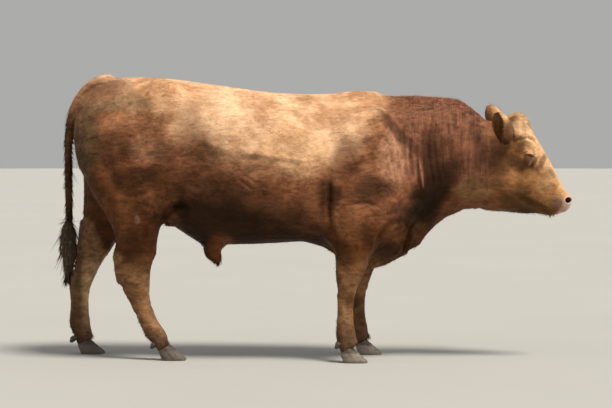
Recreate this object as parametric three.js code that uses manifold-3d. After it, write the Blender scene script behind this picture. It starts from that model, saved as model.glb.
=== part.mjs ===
// A life-size model of a standing young red beef bull, polled, in millimetres.
// +X runs forward to the nose, +Y to the animal's left, +Z up, with the floor at Z = 0.
//
// The flesh is one continuous body: lofted sections along the trunk, head and legs, joined by
// smooth blends with the larger muscles. That body is faceted region by region and parted with
// thin plane cuts into the pieces that a stockman would name. Ears, eyes, tail and the horn of
// the feet are solids of their own.
import * as THREE from "three";
import { mergeVertices } from "three/addons/utils/BufferGeometryUtils.js";
import Module from "manifold-3d";

const wasm = await Module();
wasm.setup();

// ---------------------------------------------------------------------------------------------
// Driving dimensions, in millimetres
// ---------------------------------------------------------------------------------------------
const GAP = 0.3; // between two pieces that touch
const RIGHT = -1; // the side of Y that the right flank is on
const LEFT = 1;
const WITHERS_HEIGHT = 1354;
const HIP_HEIGHT = 1424;
const EYE_RADIUS = 20;
const FORE_LEAD = 48; // the left forefoot stands this far ahead of the right one
const HOOF = { sole: 134, width: 54, toeHeight: 74, coronetSlope: 0.55 };
const EAR = { length: 184, width: 112, thick: 5 };

// ---------------------------------------------------------------------------------------------
// Curves through stations, and distance fields. A field is negative inside the flesh.
// ---------------------------------------------------------------------------------------------
const vec = (x, y, z) => new THREE.Vector3(x, y, z);

// A smooth curve through [at, value] pairs that never overshoots them (monotone cubic).
function smoothCurve(at, values) {
  const n = at.length;
  const slope = [];
  for (let i = 0; i < n - 1; i++) slope.push((values[i + 1] - values[i]) / (at[i + 1] - at[i]));
  const tangent = [slope[0]];
  for (let i = 1; i < n - 1; i++) {
    const same = slope[i - 1] * slope[i] > 0;
    tangent.push(same ? (2 * slope[i - 1] * slope[i]) / (slope[i - 1] + slope[i]) : 0);
  }
  tangent.push(slope[n - 2]);
  return (x) => {
    const c = Math.min(Math.max(x, at[0]), at[n - 1]);
    let i = 0;
    while (i < n - 2 && c > at[i + 1]) i++;
    const h = at[i + 1] - at[i];
    const t = (c - at[i]) / h;
    const t2 = t * t;
    const t3 = t2 * t;
    return (
      values[i] * (2 * t3 - 3 * t2 + 1) +
      tangent[i] * h * (t3 - 2 * t2 + t) +
      values[i + 1] * (3 * t2 - 2 * t3) +
      tangent[i + 1] * h * (t3 - t2)
    );
  };
}

// The true distance to a surface is close to its level value over its steepness.
function asDistance(level) {
  const e = 0.5;
  return (x, y, z) => {
    const v = level(x, y, z);
    const gx = (level(x + e, y, z) - v) / e;
    const gy = (level(x, y + e, z) - v) / e;
    const gz = (level(x, y, z + e) - v) / e;
    return v / Math.max(Math.hypot(gx, gy, gz), 1e-4);
  };
}

// A body lofted through sections. `frame(x, y, z)` gives [along, up, side]. Each station is
// { at, low, high, half, widest, side, topPower, lowPower }: the section reaches from low to high,
// and is `half` wide to each side of `side` at the height `widest`. The powers set how square
// each half is: 2 is an ellipse, less is a keel and more is a box. The ends are domes.
function lofted(stations, frame, domes) {
  const at = stations.map((s) => s.at);
  const channel = (key, otherwise) =>
    smoothCurve(at, stations.map((s) => s[key] ?? otherwise(s)));
  const low = channel("low");
  const high = channel("high");
  const half = channel("half");
  const widest = channel("widest", (s) => (s.low + s.high) / 2);
  const side = channel("side", () => 0);
  const topPower = channel("topPower", () => 2);
  const lowPower = channel("lowPower", () => 2);
  const first = at[0];
  const last = at[at.length - 1];
  return asDistance((x, y, z) => {
    const [along, up, across] = frame(x, y, z);
    const level = widest(along);
    const above = up > level;
    const reach = above ? high(along) - level : level - low(along);
    const power = above ? topPower(along) : lowPower(along);
    const a = Math.abs(up - level) / reach;
    const b = Math.abs(across - side(along)) / half(along);
    const ring = Math.pow(Math.pow(a, power) + Math.pow(b, power), 1 / power);
    const past = along < first ? (first - along) / domes[0] : along > last ? (along - last) / domes[1] : 0;
    return Math.hypot(ring, past) - 1;
  });
}

// An ellipsoid muscle, turned in the side view by `tilt` degrees (nose down is positive) and in
// plan by `splay` degrees (front outwards is positive), mirrored to one side of the body.
function ellipsoid(centre, radii, tilt = 0, splay = 0) {
  const t = THREE.MathUtils.degToRad(tilt);
  const s = THREE.MathUtils.degToRad(splay);
  const turn = new THREE.Matrix4()
    .makeRotationY(t)
    .premultiply(new THREE.Matrix4().makeRotationZ(s))
    .invert().elements;
  return (x, y, z) => {
    const dx = x - centre[0];
    const dy = y - centre[1];
    const dz = z - centre[2];
    const lx = turn[0] * dx + turn[4] * dy + turn[8] * dz;
    const ly = turn[1] * dx + turn[5] * dy + turn[9] * dz;
    const lz = turn[2] * dx + turn[6] * dy + turn[10] * dz;
    const k = Math.hypot(lx / radii[0], ly / radii[1], lz / radii[2]);
    const g = Math.hypot(lx / radii[0] ** 2, ly / radii[1] ** 2, lz / radii[2] ** 2);
    return (k * (k - 1)) / Math.max(g, 1e-6);
  };
}

// A round-ended cone between two points.
function capsule(from, to, fromRadius, toRadius) {
  const d = [to[0] - from[0], to[1] - from[1], to[2] - from[2]];
  const length2 = d[0] ** 2 + d[1] ** 2 + d[2] ** 2;
  return (x, y, z) => {
    const p = [x - from[0], y - from[1], z - from[2]];
    const t = Math.min(Math.max((p[0] * d[0] + p[1] * d[1] + p[2] * d[2]) / length2, 0), 1);
    return Math.hypot(p[0] - d[0] * t, p[1] - d[1] * t, p[2] - d[2] * t) - (fromRadius + (toRadius - fromRadius) * t);
  };
}

// Joins two distances with a fillet about `blend` wide, or cuts the second from the first.
function joined(a, b, blend) {
  const h = Math.max(blend - Math.abs(a - b), 0) / blend;
  return Math.min(a, b) - (h * h * blend) / 4;
}
function carved(a, b, blend) {
  return -joined(-a, b, blend);
}

// ---------------------------------------------------------------------------------------------
// Trunk and neck: upright sections from the pin bones to the nape
// ---------------------------------------------------------------------------------------------
const TRUNK = [
  { at: -1120, low: 930, high: 1345, half: 165, widest: 1120, topPower: 1.9, lowPower: 2 }, // pin bones
  { at: -1040, low: 850, high: 1398, half: 225, widest: 1080, topPower: 2.1, lowPower: 2 }, // tail head
  { at: -900, low: 770, high: 1421, half: 266, widest: 1070, topPower: 2.15, lowPower: 2 }, // thurls
  { at: -740, low: 674, high: HIP_HEIGHT - 12, half: 282, widest: 1080, topPower: 2.25, lowPower: 2 }, // hips
  { at: -668, low: 630, high: 1404, half: 283, widest: 1040, topPower: 2.25, lowPower: 2 },
  { at: -600, low: 588, high: 1394, half: 284, widest: 1000, topPower: 2.3, lowPower: 2.1 }, // flank
  { at: -440, low: 562, high: 1372, half: 305, widest: 950, topPower: 2.3, lowPower: 2.2 }, // loin
  { at: -220, low: 570, high: 1341, half: 328, widest: 930, topPower: 2.3, lowPower: 2.2 }, // barrel
  { at: -30, low: 580, high: 1331, half: 322, widest: 930, topPower: 2.15, lowPower: 2.1 }, // ribs
  { at: 110, low: 504, high: 1333, half: 288, widest: 920, topPower: 2, lowPower: 1.9 }, // heart girth
  { at: 255, low: 440, high: WITHERS_HEIGHT, half: 264, widest: 900, topPower: 1.8, lowPower: 1.7 }, // withers
  { at: 395, low: 480, high: 1323, half: 228, widest: 900, topPower: 1.9, lowPower: 1.6 }, // shoulder point
  { at: 520, low: 566, high: 1324, half: 182, widest: 960, topPower: 2.1, lowPower: 1.7 }, // neck root
  { at: 650, low: 694, high: 1316, half: 152, widest: 1010, topPower: 2.2, lowPower: 1.8 }, // mid neck
  { at: 740, low: 742, high: 1297, half: 138, widest: 1020, topPower: 2.2, lowPower: 2 }, // crest
  { at: 830, low: 776, high: 1222, half: 124, widest: 1010, topPower: 2.1, lowPower: 2.1 }, // nape
];
const trunkField = lofted(TRUNK, (x, y, z) => [x, z, y], [85, 55]);

const hips = (side) => ellipsoid([-745, side * 170, 1290], [118, 82, 76], -8);
const pins = (side) => ellipsoid([-1115, side * 92, 1215], [82, 66, 92], 20);
const shoulderBlade = (side) => ellipsoid([255, side * 190, 960], [125, 92, 300], 12);
const armMuscle = (side) => ellipsoid([190, side * 215, 745], [125, 88, 170], 30);
const shoulderPoint = (side) => ellipsoid([345, side * 195, 770], [95, 92, 120], 10);

// ---------------------------------------------------------------------------------------------
// Legs: level sections. low is the back edge of the leg and high its front edge.
// ---------------------------------------------------------------------------------------------
const FORE = [
  { at: 40, low: 136, high: 256, half: 49, side: 222 }, // coronet
  { at: 69, low: 130, high: 238, half: 47, side: 222 },
  { at: 112, low: 113, high: 217, half: 45, side: 221 }, // pastern
  { at: 156, low: 109, high: 211, half: 48, side: 220, topPower: 2.3 }, // fetlock
  { at: 205, low: 114, high: 200, half: 38, side: 218 },
  { at: 300, low: 118, high: 201, half: 34, side: 214, topPower: 2.2, lowPower: 2.4 }, // cannon
  { at: 345, low: 110, high: 214, half: 44, side: 212, topPower: 2.5, lowPower: 2.3 },
  { at: 385, low: 100, high: 232, half: 53, side: 210, topPower: 2.6, lowPower: 2.3 }, // knee
  { at: 450, low: 104, high: 262, half: 55, side: 208, topPower: 2.2 },
  { at: 540, low: 102, high: 297, half: 68, side: 205 }, // forearm
  { at: 630, low: 96, high: 342, half: 84, side: 200 },
  { at: 740, low: 96, high: 362, half: 88, side: 190 }, // elbow
];
const rightFore = FORE.map((s) => ({ ...s, side: -s.side }));
const leftFore = FORE.map((s) => {
  const lead = Math.min(Math.max((740 - s.at) / 360, 0), 1) * FORE_LEAD;
  const inward = Math.min(Math.max((740 - s.at) / 600, 0), 1) * 28;
  return { ...s, low: s.low + lead, high: s.high + lead, side: s.side - inward };
});

const rightHind = [
  { at: 40, low: -774, high: -694, half: 47, side: -152 }, // coronet
  { at: 80, low: -800, high: -724, half: 46, side: -152 },
  { at: 122, low: -840, high: -729, half: 44, side: -153 }, // pastern
  { at: 162, low: -862, high: -754, half: 47, side: -154, topPower: 2.2 }, // fetlock
  { at: 200, low: -878, high: -777, half: 39, side: -156 },
  { at: 270, low: -914, high: -803, half: 35, side: -160, topPower: 2.2, lowPower: 2.3 }, // cannon
  { at: 336, low: -951, high: -812, half: 41, side: -163, topPower: 2.3 },
  { at: 400, low: -992, high: -814, half: 51, side: -165, topPower: 2.4, lowPower: 1.8, widest: -885 }, // hock
  { at: 445, low: -1005, high: -803, half: 52, side: -166, lowPower: 1.5, widest: -875 },
  { at: 491, low: -1001, high: -783, half: 54, side: -167, lowPower: 1.4, widest: -870 },
  { at: 540, low: -990, high: -779, half: 62, side: -168, lowPower: 1.5, widest: -872 },
  { at: 600, low: -988, high: -773, half: 80, side: -172, lowPower: 1.7, widest: -875 }, // gaskin
  { at: 690, low: -1026, high: -749, half: 104, side: -178, widest: -880 }, // stifle
  { at: 780, low: -1080, high: -736, half: 124, side: -177, widest: -900 },
  { at: 880, low: -1134, high: -722, half: 134, side: -168, widest: -930 }, // thigh
  { at: 1000, low: -1186, high: -728, half: 134, side: -160, widest: -960 },
  { at: 1110, low: -1192, high: -770, half: 122, side: -145, widest: -980 }, // buttock
];
// The left hind leg is drawn back, with its hock above its foot.
const leftHind = [
  { at: 40, low: -1228, high: -1116, half: 47, side: 152 }, // coronet
  { at: 70, low: -1236, high: -1136, half: 46, side: 152 },
  { at: 118, low: -1259, high: -1156, half: 44, side: 153 }, // pastern
  { at: 168, low: -1272, high: -1163, half: 47, side: 154, topPower: 2.2 }, // fetlock
  { at: 215, low: -1268, high: -1168, half: 39, side: 156 },
  { at: 273, low: -1267, high: -1170, half: 35, side: 159, topPower: 2.2, lowPower: 2.3 }, // cannon
  { at: 329, low: -1274, high: -1163, half: 40, side: 161, topPower: 2.3 },
  { at: 385, low: -1280, high: -1142, half: 51, side: 163, topPower: 2.4, lowPower: 1.8, widest: -1190 }, // hock
  { at: 430, low: -1266, high: -1118, half: 52, side: 164, lowPower: 1.6, widest: -1180 },
  { at: 478, low: -1246, high: -1092, half: 54, side: 165, lowPower: 1.5, widest: -1160 },
  { at: 558, low: -1235, high: -1037, half: 66, side: 168, lowPower: 1.6, widest: -1130 }, // gaskin
  { at: 626, low: -1228, high: -985, half: 86, side: 172, lowPower: 1.8, widest: -1090 },
  { at: 736, low: -1212, high: -892, half: 112, side: 176, widest: -1020 }, // stifle
  { at: 850, low: -1204, high: -800, half: 128, side: 172, widest: -980 },
  { at: 950, low: -1204, high: -750, half: 134, side: 164, widest: -970 }, // thigh
  { at: 1040, low: -1202, high: -742, half: 130, side: 154, widest: -970 },
  { at: 1110, low: -1196, high: -770, half: 122, side: 145, widest: -980 }, // buttock
];
const levelFrame = (x, y, z) => [z, x, y];
const legFields = [rightFore, leftFore, rightHind, leftHind].map((stations) =>
  lofted(stations, levelFrame, [20, 110]),
);

// ---------------------------------------------------------------------------------------------
// Head: sections square to an axis that runs down the middle of the wedge of the face
// ---------------------------------------------------------------------------------------------
const HEAD_BASE = vec(900, 0, 985);
const HEAD_DIP = THREE.MathUtils.degToRad(28); // the axis points this far below level
const headAxis = vec(Math.cos(HEAD_DIP), 0, -Math.sin(HEAD_DIP));
const headUp = vec(Math.sin(HEAD_DIP), 0, Math.cos(HEAD_DIP));
const headFrame = (x, y, z) => {
  const dx = x - HEAD_BASE.x;
  const dz = z - HEAD_BASE.z;
  return [dx * headAxis.x + dz * headAxis.z, dx * headUp.x + dz * headUp.z, y];
};
const onHead = (along, up, side) => {
  const p = HEAD_BASE.clone().addScaledVector(headAxis, along).addScaledVector(headUp, up);
  return [p.x, side, p.z];
};
const HEAD = [
  { at: -40, low: -215, high: 228, half: 97, widest: 40, topPower: 2.2, lowPower: 2 }, // nape
  { at: 0, low: -231, high: 256, half: 108, widest: 60, topPower: 2.8, lowPower: 1.9 }, // poll
  { at: 50, low: -230, high: 248, half: 114, widest: 62, topPower: 3.1, lowPower: 1.9 },
  { at: 125, low: -214, high: 208, half: 112, widest: 52, topPower: 3.1, lowPower: 1.8 }, // eyes
  { at: 190, low: -185, high: 170, half: 98, widest: 20, topPower: 2.8, lowPower: 1.8 },
  { at: 240, low: -167, high: 138, half: 84, widest: 0, topPower: 2.5, lowPower: 1.9 }, // cheek ridge
  { at: 290, low: -139, high: 103, half: 74, widest: -10, topPower: 2.4, lowPower: 2 },
  { at: 340, low: -112, high: 67, half: 71, widest: -18, topPower: 2.4, lowPower: 2.1 }, // nose
  { at: 375, low: -102, high: 47, half: 75, widest: -22, topPower: 2.5, lowPower: 2.1 }, // lips
  { at: 402, low: -76, high: 32, half: 72, widest: -20, topPower: 2.6, lowPower: 2.2 }, // muzzle
];
const headLoft = lofted(HEAD, headFrame, [70, 34]);
const eyeCentre = (side) => onHead(130, 109, side * 112);
const brow = (side) => ellipsoid(onHead(112, 146, side * 98), [56, 26, 24], 55, side * 10);
const orbit = (side) => ellipsoid(onHead(130, 108, side * 92), [46, 34, 42], 28);
const cheek = (side) => ellipsoid(onHead(95, -90, side * 72), [105, 44, 105], 28);
const pollKnob = ellipsoid(onHead(8, 232, 0), [52, 78, 44], 20);
const nostrilWing = (side) => ellipsoid(onHead(396, 4, side * 50), [34, 26, 27], 28);
const nostril = (side) => ellipsoid(onHead(410, 3, side * 69), [19, 15, 14], 28, side * -35);
const chin = ellipsoid(onHead(350, -86, 0), [50, 44, 24], 8);
const earRoot = (side) => onHead(-12, 150, side * 90);
const earBase = (side) => ellipsoid(earRoot(side), [40, 40, 46], 0);

// ---------------------------------------------------------------------------------------------
// The whole body of flesh
// ---------------------------------------------------------------------------------------------
const both = (make) => [make(RIGHT), make(LEFT)];
const trunkMuscles = [
  ...both(hips).map((f) => [f, 60]),
  ...both(pins).map((f) => [f, 60]),
  ...both(shoulderBlade).map((f) => [f, 90]),
  ...both(shoulderPoint).map((f) => [f, 70]),
  ...both(armMuscle).map((f) => [f, 70]),
];
const headMuscles = [
  ...both(brow).map((f) => [f, 22]),
  ...both(orbit).map((f) => [f, 24]),
  ...both(cheek).map((f) => [f, 60]),
  ...both(nostrilWing).map((f) => [f, 20]),
  ...both(earBase).map((f) => [f, 40]),
  [pollKnob, 40],
  [chin, 24],
];
const nostrils = both(nostril);
const sheath = [
  capsule([-522, 0, 592], [-514, 0, 530], 62, 38),
  capsule([-514, 0, 530], [-495, 0, 496], 38, 21),
];
const scrotum = capsule([-885, 0, 765], [-880, 0, 640], 36, 56);

function headField(x, y, z) {
  let d = headLoft(x, y, z);
  for (const [muscle, blend] of headMuscles) d = joined(d, muscle(x, y, z), blend);
  for (const hole of nostrils) d = carved(d, hole(x, y, z), 6);
  return d;
}

function fleshField(x, y, z) {
  let d = trunkField(x, y, z);
  if (x > 600) d = joined(d, headField(x, y, z), 70);
  if (x > 700) return d;
  for (const [muscle, blend] of trunkMuscles) d = joined(d, muscle(x, y, z), blend);
  if (x > -300) return joined(d, Math.min(legFields[0](x, y, z), legFields[1](x, y, z)), 60);
  for (const piece of sheath) d = joined(d, piece(x, y, z), 45);
  d = joined(d, Math.min(legFields[2](x, y, z), legFields[3](x, y, z)), 70);
  return joined(d, scrotum(x, y, z), 16);
}

// ---------------------------------------------------------------------------------------------
// Faceting: one vertex for each cell that the surface crosses, moved onto the surface
// ---------------------------------------------------------------------------------------------
function faceted(field, low, high, cell) {
  const count = [0, 1, 2].map((k) => Math.ceil((high[k] - low[k]) / cell[k]) + 1);
  const at = (k, i) => low[k] + i * cell[k];
  const index = (i, j, k) => (i * count[1] + j) * count[2] + k;
  const values = new Float64Array(count[0] * count[1] * count[2]);
  for (let i = 0; i < count[0]; i++)
    for (let j = 0; j < count[1]; j++)
      for (let k = 0; k < count[2]; k++) {
        const edge = i === 0 || j === 0 || k === 0 || i === count[0] - 1 || j === count[1] - 1 || k === count[2] - 1;
        values[index(i, j, k)] = edge ? 1 : field(at(0, i), at(1, j), at(2, k));
      }
  const positions = [];
  const cellVertex = new Int32Array(values.length).fill(-1);
  const corners = [];
  for (let c = 0; c < 8; c++) corners.push([c & 1, (c >> 1) & 1, (c >> 2) & 1]);
  for (let i = 0; i < count[0] - 1; i++)
    for (let j = 0; j < count[1] - 1; j++)
      for (let k = 0; k < count[2] - 1; k++) {
        const v = corners.map((c) => values[index(i + c[0], j + c[1], k + c[2])]);
        const inside = v.filter((x) => x < 0).length;
        if (inside === 0 || inside === 8) continue;
        const sum = [0, 0, 0];
        let n = 0;
        for (let a = 0; a < 8; a++)
          for (const bit of [1, 2, 4]) {
            const b = a | bit;
            if (b === a || v[a] < 0 === v[b] < 0) continue;
            const t = v[a] / (v[a] - v[b]);
            for (let m = 0; m < 3; m++) sum[m] += corners[a][m] + (corners[b][m] - corners[a][m]) * t;
            n++;
          }
        const p = [i, j, k].map((base, m) => at(m, base + sum[m] / n));
        cellVertex[index(i, j, k)] = positions.length / 3;
        positions.push(...onSurface(field, p, cell));
      }
  const faces = [];
  const quad = (a, b, c, d, flip) => (flip ? faces.push(a, c, b, a, d, c) : faces.push(a, b, c, a, c, d));
  for (let i = 0; i < count[0] - 1; i++)
    for (let j = 0; j < count[1] - 1; j++)
      for (let k = 0; k < count[2] - 1; k++) {
        const here = values[index(i, j, k)] < 0;
        const cellAt = (di, dj, dk) => cellVertex[index(i - di, j - dj, k - dk)];
        if (j && k && here !== values[index(i + 1, j, k)] < 0)
          quad(cellAt(0, 1, 1), cellAt(0, 0, 1), cellAt(0, 0, 0), cellAt(0, 1, 0), !here);
        if (i && k && here !== values[index(i, j + 1, k)] < 0)
          quad(cellAt(1, 0, 1), cellAt(1, 0, 0), cellAt(0, 0, 0), cellAt(0, 0, 1), !here);
        if (i && j && here !== values[index(i, j, k + 1)] < 0)
          quad(cellAt(1, 1, 0), cellAt(0, 1, 0), cellAt(0, 0, 0), cellAt(1, 0, 0), !here);
      }
  return toSolid(new Float32Array(positions), new Uint32Array(faces));
}

// Walks a point onto the surface, by no more than about half a cell.
function onSurface(field, p, cell) {
  const q = [...p];
  for (let step = 0; step < 3; step++) {
    const v = field(...q);
    const e = 1;
    const g = [field(q[0] + e, q[1], q[2]) - v, field(q[0], q[1] + e, q[2]) - v, field(q[0], q[1], q[2] + e) - v];
    const steep = Math.max(g[0] ** 2 + g[1] ** 2 + g[2] ** 2, 1e-2);
    for (let m = 0; m < 3; m++) q[m] -= (v * g[m] * e) / steep;
  }
  return q.map((value, m) => Math.min(Math.max(value, p[m] - cell[m] * 0.45), p[m] + cell[m] * 0.45));
}

function toSolid(vertProperties, triVerts) {
  return new wasm.Manifold(new wasm.Mesh({ numProp: 3, vertProperties, triVerts }));
}

// A three.js geometry as a solid, after a placing matrix.
function solidOf(geometry, matrix) {
  const bare = geometry.clone();
  for (const name of Object.keys(bare.attributes)) if (name !== "position") bare.deleteAttribute(name);
  const merged = mergeVertices(bare, 1e-3);
  if (matrix) merged.applyMatrix4(matrix);
  return toSolid(merged.attributes.position.array, new Uint32Array(merged.index.array));
}

// Everything on the side of a plane that its normal points to, moved along the normal by `gap`.
function halfSpace(point, normal, gap) {
  const size = 6000;
  const n = normal.clone().normalize();
  const turn = new THREE.Quaternion().setFromUnitVectors(vec(0, 0, 1), n);
  const centre = point.clone().addScaledVector(n, size / 2 + gap);
  return solidOf(new THREE.BoxGeometry(size, size, size), new THREE.Matrix4().compose(centre, turn, vec(1, 1, 1)));
}

function block(low, high) {
  const size = high.map((v, k) => v - low[k]);
  const place = new THREE.Matrix4().makeTranslation(...low.map((v, k) => v + size[k] / 2));
  return solidOf(new THREE.BoxGeometry(...size), place);
}

// ---------------------------------------------------------------------------------------------
// Rings joined into a closed solid, for the ears, the tail and the claws
// ---------------------------------------------------------------------------------------------
function throughRings(rings) {
  const n = rings[0].length;
  const points = rings.flat();
  const faces = [];
  for (let i = 0; i < rings.length - 1; i++)
    for (let j = 0; j < n; j++) {
      const a = i * n + j;
      const b = i * n + ((j + 1) % n);
      faces.push(a, b, b + n, a, b + n, a + n);
    }
  const cap = (start, flip) => {
    const flat = THREE.ShapeUtils.triangulateShape(flatten(points.slice(start, start + n)), []);
    for (const [a, b, c] of flat) faces.push(start + a, start + (flip ? c : b), start + (flip ? b : c));
  };
  cap(0, true);
  cap((rings.length - 1) * n, false);
  const solid = toSolid(new Float32Array(points.flatMap((p) => [p.x, p.y, p.z])), new Uint32Array(faces));
  return solid.volume() > 0 ? solid : insideOut(points, faces);
}
function insideOut(points, faces) {
  const turned = [];
  for (let i = 0; i < faces.length; i += 3) turned.push(faces[i], faces[i + 2], faces[i + 1]);
  return toSolid(new Float32Array(points.flatMap((p) => [p.x, p.y, p.z])), new Uint32Array(turned));
}

// A ring's points in the plane of the ring, wound anticlockwise.
function flatten(ring) {
  const normal = vec(0, 0, 0);
  ring.forEach((p, i) => normal.add(p.clone().cross(ring[(i + 1) % ring.length])));
  normal.normalize();
  const u = ring[1].clone().sub(ring[0]).normalize();
  const v = normal.clone().cross(u);
  return ring.map((p) => new THREE.Vector2(p.dot(u), p.dot(v)));
}

// A tapering limb of round sections along a curve: radii are [across Y, in the XZ plane].
function tapered(path, radii, steps, sides) {
  const curve = new THREE.CatmullRomCurve3(path.map((p) => vec(...p)));
  const at = path.map((_, i) => i / (path.length - 1));
  const wide = smoothCurve(at, radii.map((r) => r[0]));
  const deep = smoothCurve(at, radii.map((r) => r[1]));
  const rings = [];
  for (let i = 0; i <= steps; i++) {
    const t = i / steps;
    const centre = curve.getPoint(t);
    const along = curve.getTangent(t);
    const out = along.clone().cross(vec(0, 1, 0)).normalize();
    rings.push(
      Array.from({ length: sides }, (_, j) => {
        const a = (j / sides) * Math.PI * 2;
        return centre.clone().add(vec(0, Math.cos(a) * wide(t), 0)).addScaledVector(out, Math.sin(a) * deep(t));
      }),
    );
  }
  return throughRings(rings);
}

// An ear: a cupped leaf that opens forwards, on a stalk at its root.
function ear(root, along, opening) {
  const a = vec(...along).normalize();
  const f = vec(...opening).projectOnPlane(a).normalize();
  const u = a.clone().cross(f);
  const at = [0, 0.14, 0.35, 0.6, 0.82, 0.94, 1];
  const half = smoothCurve(at, [0.5, 0.66, 0.86, 0.86, 0.68, 0.46, 0.2].map((k) => (k * EAR.width) / 2));
  const sweep = smoothCurve(at, [338, 322, 286, 248, 205, 160, 120].map(THREE.MathUtils.degToRad));
  const count = 6;
  const rings = [];
  for (let i = 0; i <= 7; i++) {
    const t = i / 7;
    const angle = sweep(t) / 2;
    const radius = half(t) / Math.sin(Math.min(angle, Math.PI / 2));
    const centre = vec(...root).addScaledVector(a, t * EAR.length - 14).addScaledVector(f, 26 * t * t);
    const on = (r, phi) =>
      centre.clone().addScaledVector(f, -Math.cos(phi) * r).addScaledVector(u, Math.sin(phi) * r);
    const arc = (r) => Array.from({ length: count + 1 }, (_, j) => on(r, angle * ((2 * j) / count - 1)));
    rings.push([...arc(radius), ...arc(radius - EAR.thick).reverse()]);
  }
  return throughRings(rings);
}

// A claw: heel at the back, flat sole on the floor and a wall that slopes up to the coronet.
// `inner` is the flat side that faces the cleft.
function claw(centreX, centreY, inner) {
  const levels = [
    { z: 0, heel: -60, toe: 64, wide: 0.97 },
    { z: 14, heel: -64, toe: 56, wide: 1 },
    { z: 40, heel: -74, toe: 23, wide: 0.99 },
    { z: 80, heel: -74, toe: -24, wide: 0.96 },
  ];
  const rings = levels.map(({ z, heel, toe, wide }) =>
    Array.from({ length: 9 }, (_, j) => {
      const a = (j / 9) * Math.PI * 2;
      const x = (heel + toe) / 2 + (Math.cos(a) * (toe - heel)) / 2;
      const bulge = Math.sign(Math.sin(a)) * Math.pow(Math.abs(Math.sin(a)), 0.7);
      const reach = HOOF.width * wide * 0.5;
      const across = bulge > 0 ? Math.min(bulge * reach, reach * 0.82) : bulge * reach;
      const taper = 1 - 0.22 * Math.max(0, Math.cos(a));
      return vec(centreX + x, centreY + inner * across * taper, z);
    }),
  );
  return throughRings(rings);
}

// ---------------------------------------------------------------------------------------------
// Planes that part the body
// ---------------------------------------------------------------------------------------------
const planes = {
  nape: { point: vec(862, 0, 1000), normal: vec(0.985, 0, -0.17) },
  neckRoot: { point: vec(400, 0, 930), normal: vec(0.985, 0, 0.17) },
  flank: { point: vec(-668, 0, 1100), normal: vec(1, 0, -0.195) },
  croup: { point: vec(0, 0, 1085), normal: vec(0, 0, 1) },
  middle: { point: vec(0, 0, 0), normal: vec(0, 1, 0) },
  mouth: { point: vec(1200, 0, 742), normal: vec(0.12, 0, 1) },
  nose: { point: vec(...onHead(338, 0, 0)), normal: headAxis },
};
const ahead = ({ point, normal }) => halfSpace(point, normal, GAP / 2);
const behind = ({ point, normal }) => halfSpace(point, normal.clone().negate(), GAP / 2);
const slab = (from, to) => block([-3000, -3000, from + GAP / 2], [3000, 3000, to - GAP / 2]);
const withSides = (make) => [make(RIGHT, "right"), make(LEFT, "left")];

const root = new THREE.Group();
const material = (color, roughness) => new THREE.MeshStandardMaterial({ color, roughness, metalness: 0 });
const hide = material(0x7a3f22, 0.75);
const bareSkin = material(0x9a7a68, 0.5);
const hornStuff = material(0x77706a, 0.5);
const eyeStuff = material(0x1a0f0a, 0.08);
const tailHair = material(0x3d251a, 0.85);

// Draws together the ends of every edge too short to matter, so that no sliver is left.
function withoutSlivers(positions, triangles) {
  const SHORTEST = 0.08;
  const keeper = Array.from(positions, (_, i) => i).slice(0, positions.length / 3);
  const find = (i) => (keeper[i] === i ? i : (keeper[i] = find(keeper[i])));
  for (let i = 0; i < triangles.length; i++) {
    const a = find(triangles[i]);
    const b = find(triangles[i % 3 === 2 ? i - 2 : i + 1]);
    const apart = [0, 1, 2].map((k) => positions[a * 3 + k] - positions[b * 3 + k]);
    if (Math.hypot(...apart) < SHORTEST) keeper[Math.max(a, b)] = Math.min(a, b);
  }
  const kept = [];
  for (let i = 0; i < triangles.length; i += 3) {
    const [a, b, c] = [0, 1, 2].map((k) => find(triangles[i + k]));
    if (a !== b && b !== c && c !== a) kept.push(a, b, c);
  }
  return kept;
}

function addPiece(name, solid, stuff) {
  const mesh = solid.getMesh();
  const position = new Float32Array(mesh.numVert * 3);
  for (let i = 0; i < mesh.numVert; i++)
    position.set(mesh.vertProperties.subarray(i * mesh.numProp, i * mesh.numProp + 3), i * 3);
  const geometry = new THREE.BufferGeometry();
  geometry.setAttribute("position", new THREE.BufferAttribute(position, 3));
  geometry.setIndex(withoutSlivers(position, mesh.triVerts));
  geometry.computeVertexNormals();
  const made = new THREE.Mesh(geometry, stuff);
  made.name = name;
  root.add(made);
}

// a solid with what its neighbour fills taken away, and a hair's breadth more along `way`
const clearOf = (solid, neighbour, way) =>
  solid.subtract(neighbour).subtract(neighbour.translate(way.map((v) => v * 2 * GAP)));

// the biggest of a solid's separate bodies, without the crumbs that a cut can leave
const largest = (solid) => solid.decompose().sort((a, b) => b.volume() - a.volume())[0];
const body = (low, high, cell) => faceted(fleshField, low, high, cell);

// ---------------------------------------------------------------------------------------------
// Head
// ---------------------------------------------------------------------------------------------
const sockets = withSides((side) =>
  solidOf(new THREE.SphereGeometry(EYE_RADIUS + GAP, 12, 8), new THREE.Matrix4().makeTranslation(...eyeCentre(side))),
);
let skull = body([820, -180, 660], [1330, 180, 1290], [42, 40, 42]).intersect(ahead(planes.nape));
for (const socket of sockets) skull = skull.subtract(socket);
addPiece("head", largest(skull.intersect(ahead(planes.mouth)).intersect(behind(planes.nose))), hide);
addPiece("lower_jaw", largest(skull.intersect(behind(planes.mouth))), hide);
const nose = body([1080, -110, 690], [1330, 110, 920], [17, 16, 17]);
addPiece("muzzle", largest(nose.intersect(ahead(planes.nose)).intersect(ahead(planes.mouth))), bareSkin);
withSides((side, name) => {
  const eye = solidOf(
    new THREE.SphereGeometry(EYE_RADIUS, 12, 8),
    new THREE.Matrix4().makeTranslation(...eyeCentre(side)),
  );
  addPiece("eye_" + name, eye, eyeStuff);
});
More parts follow.
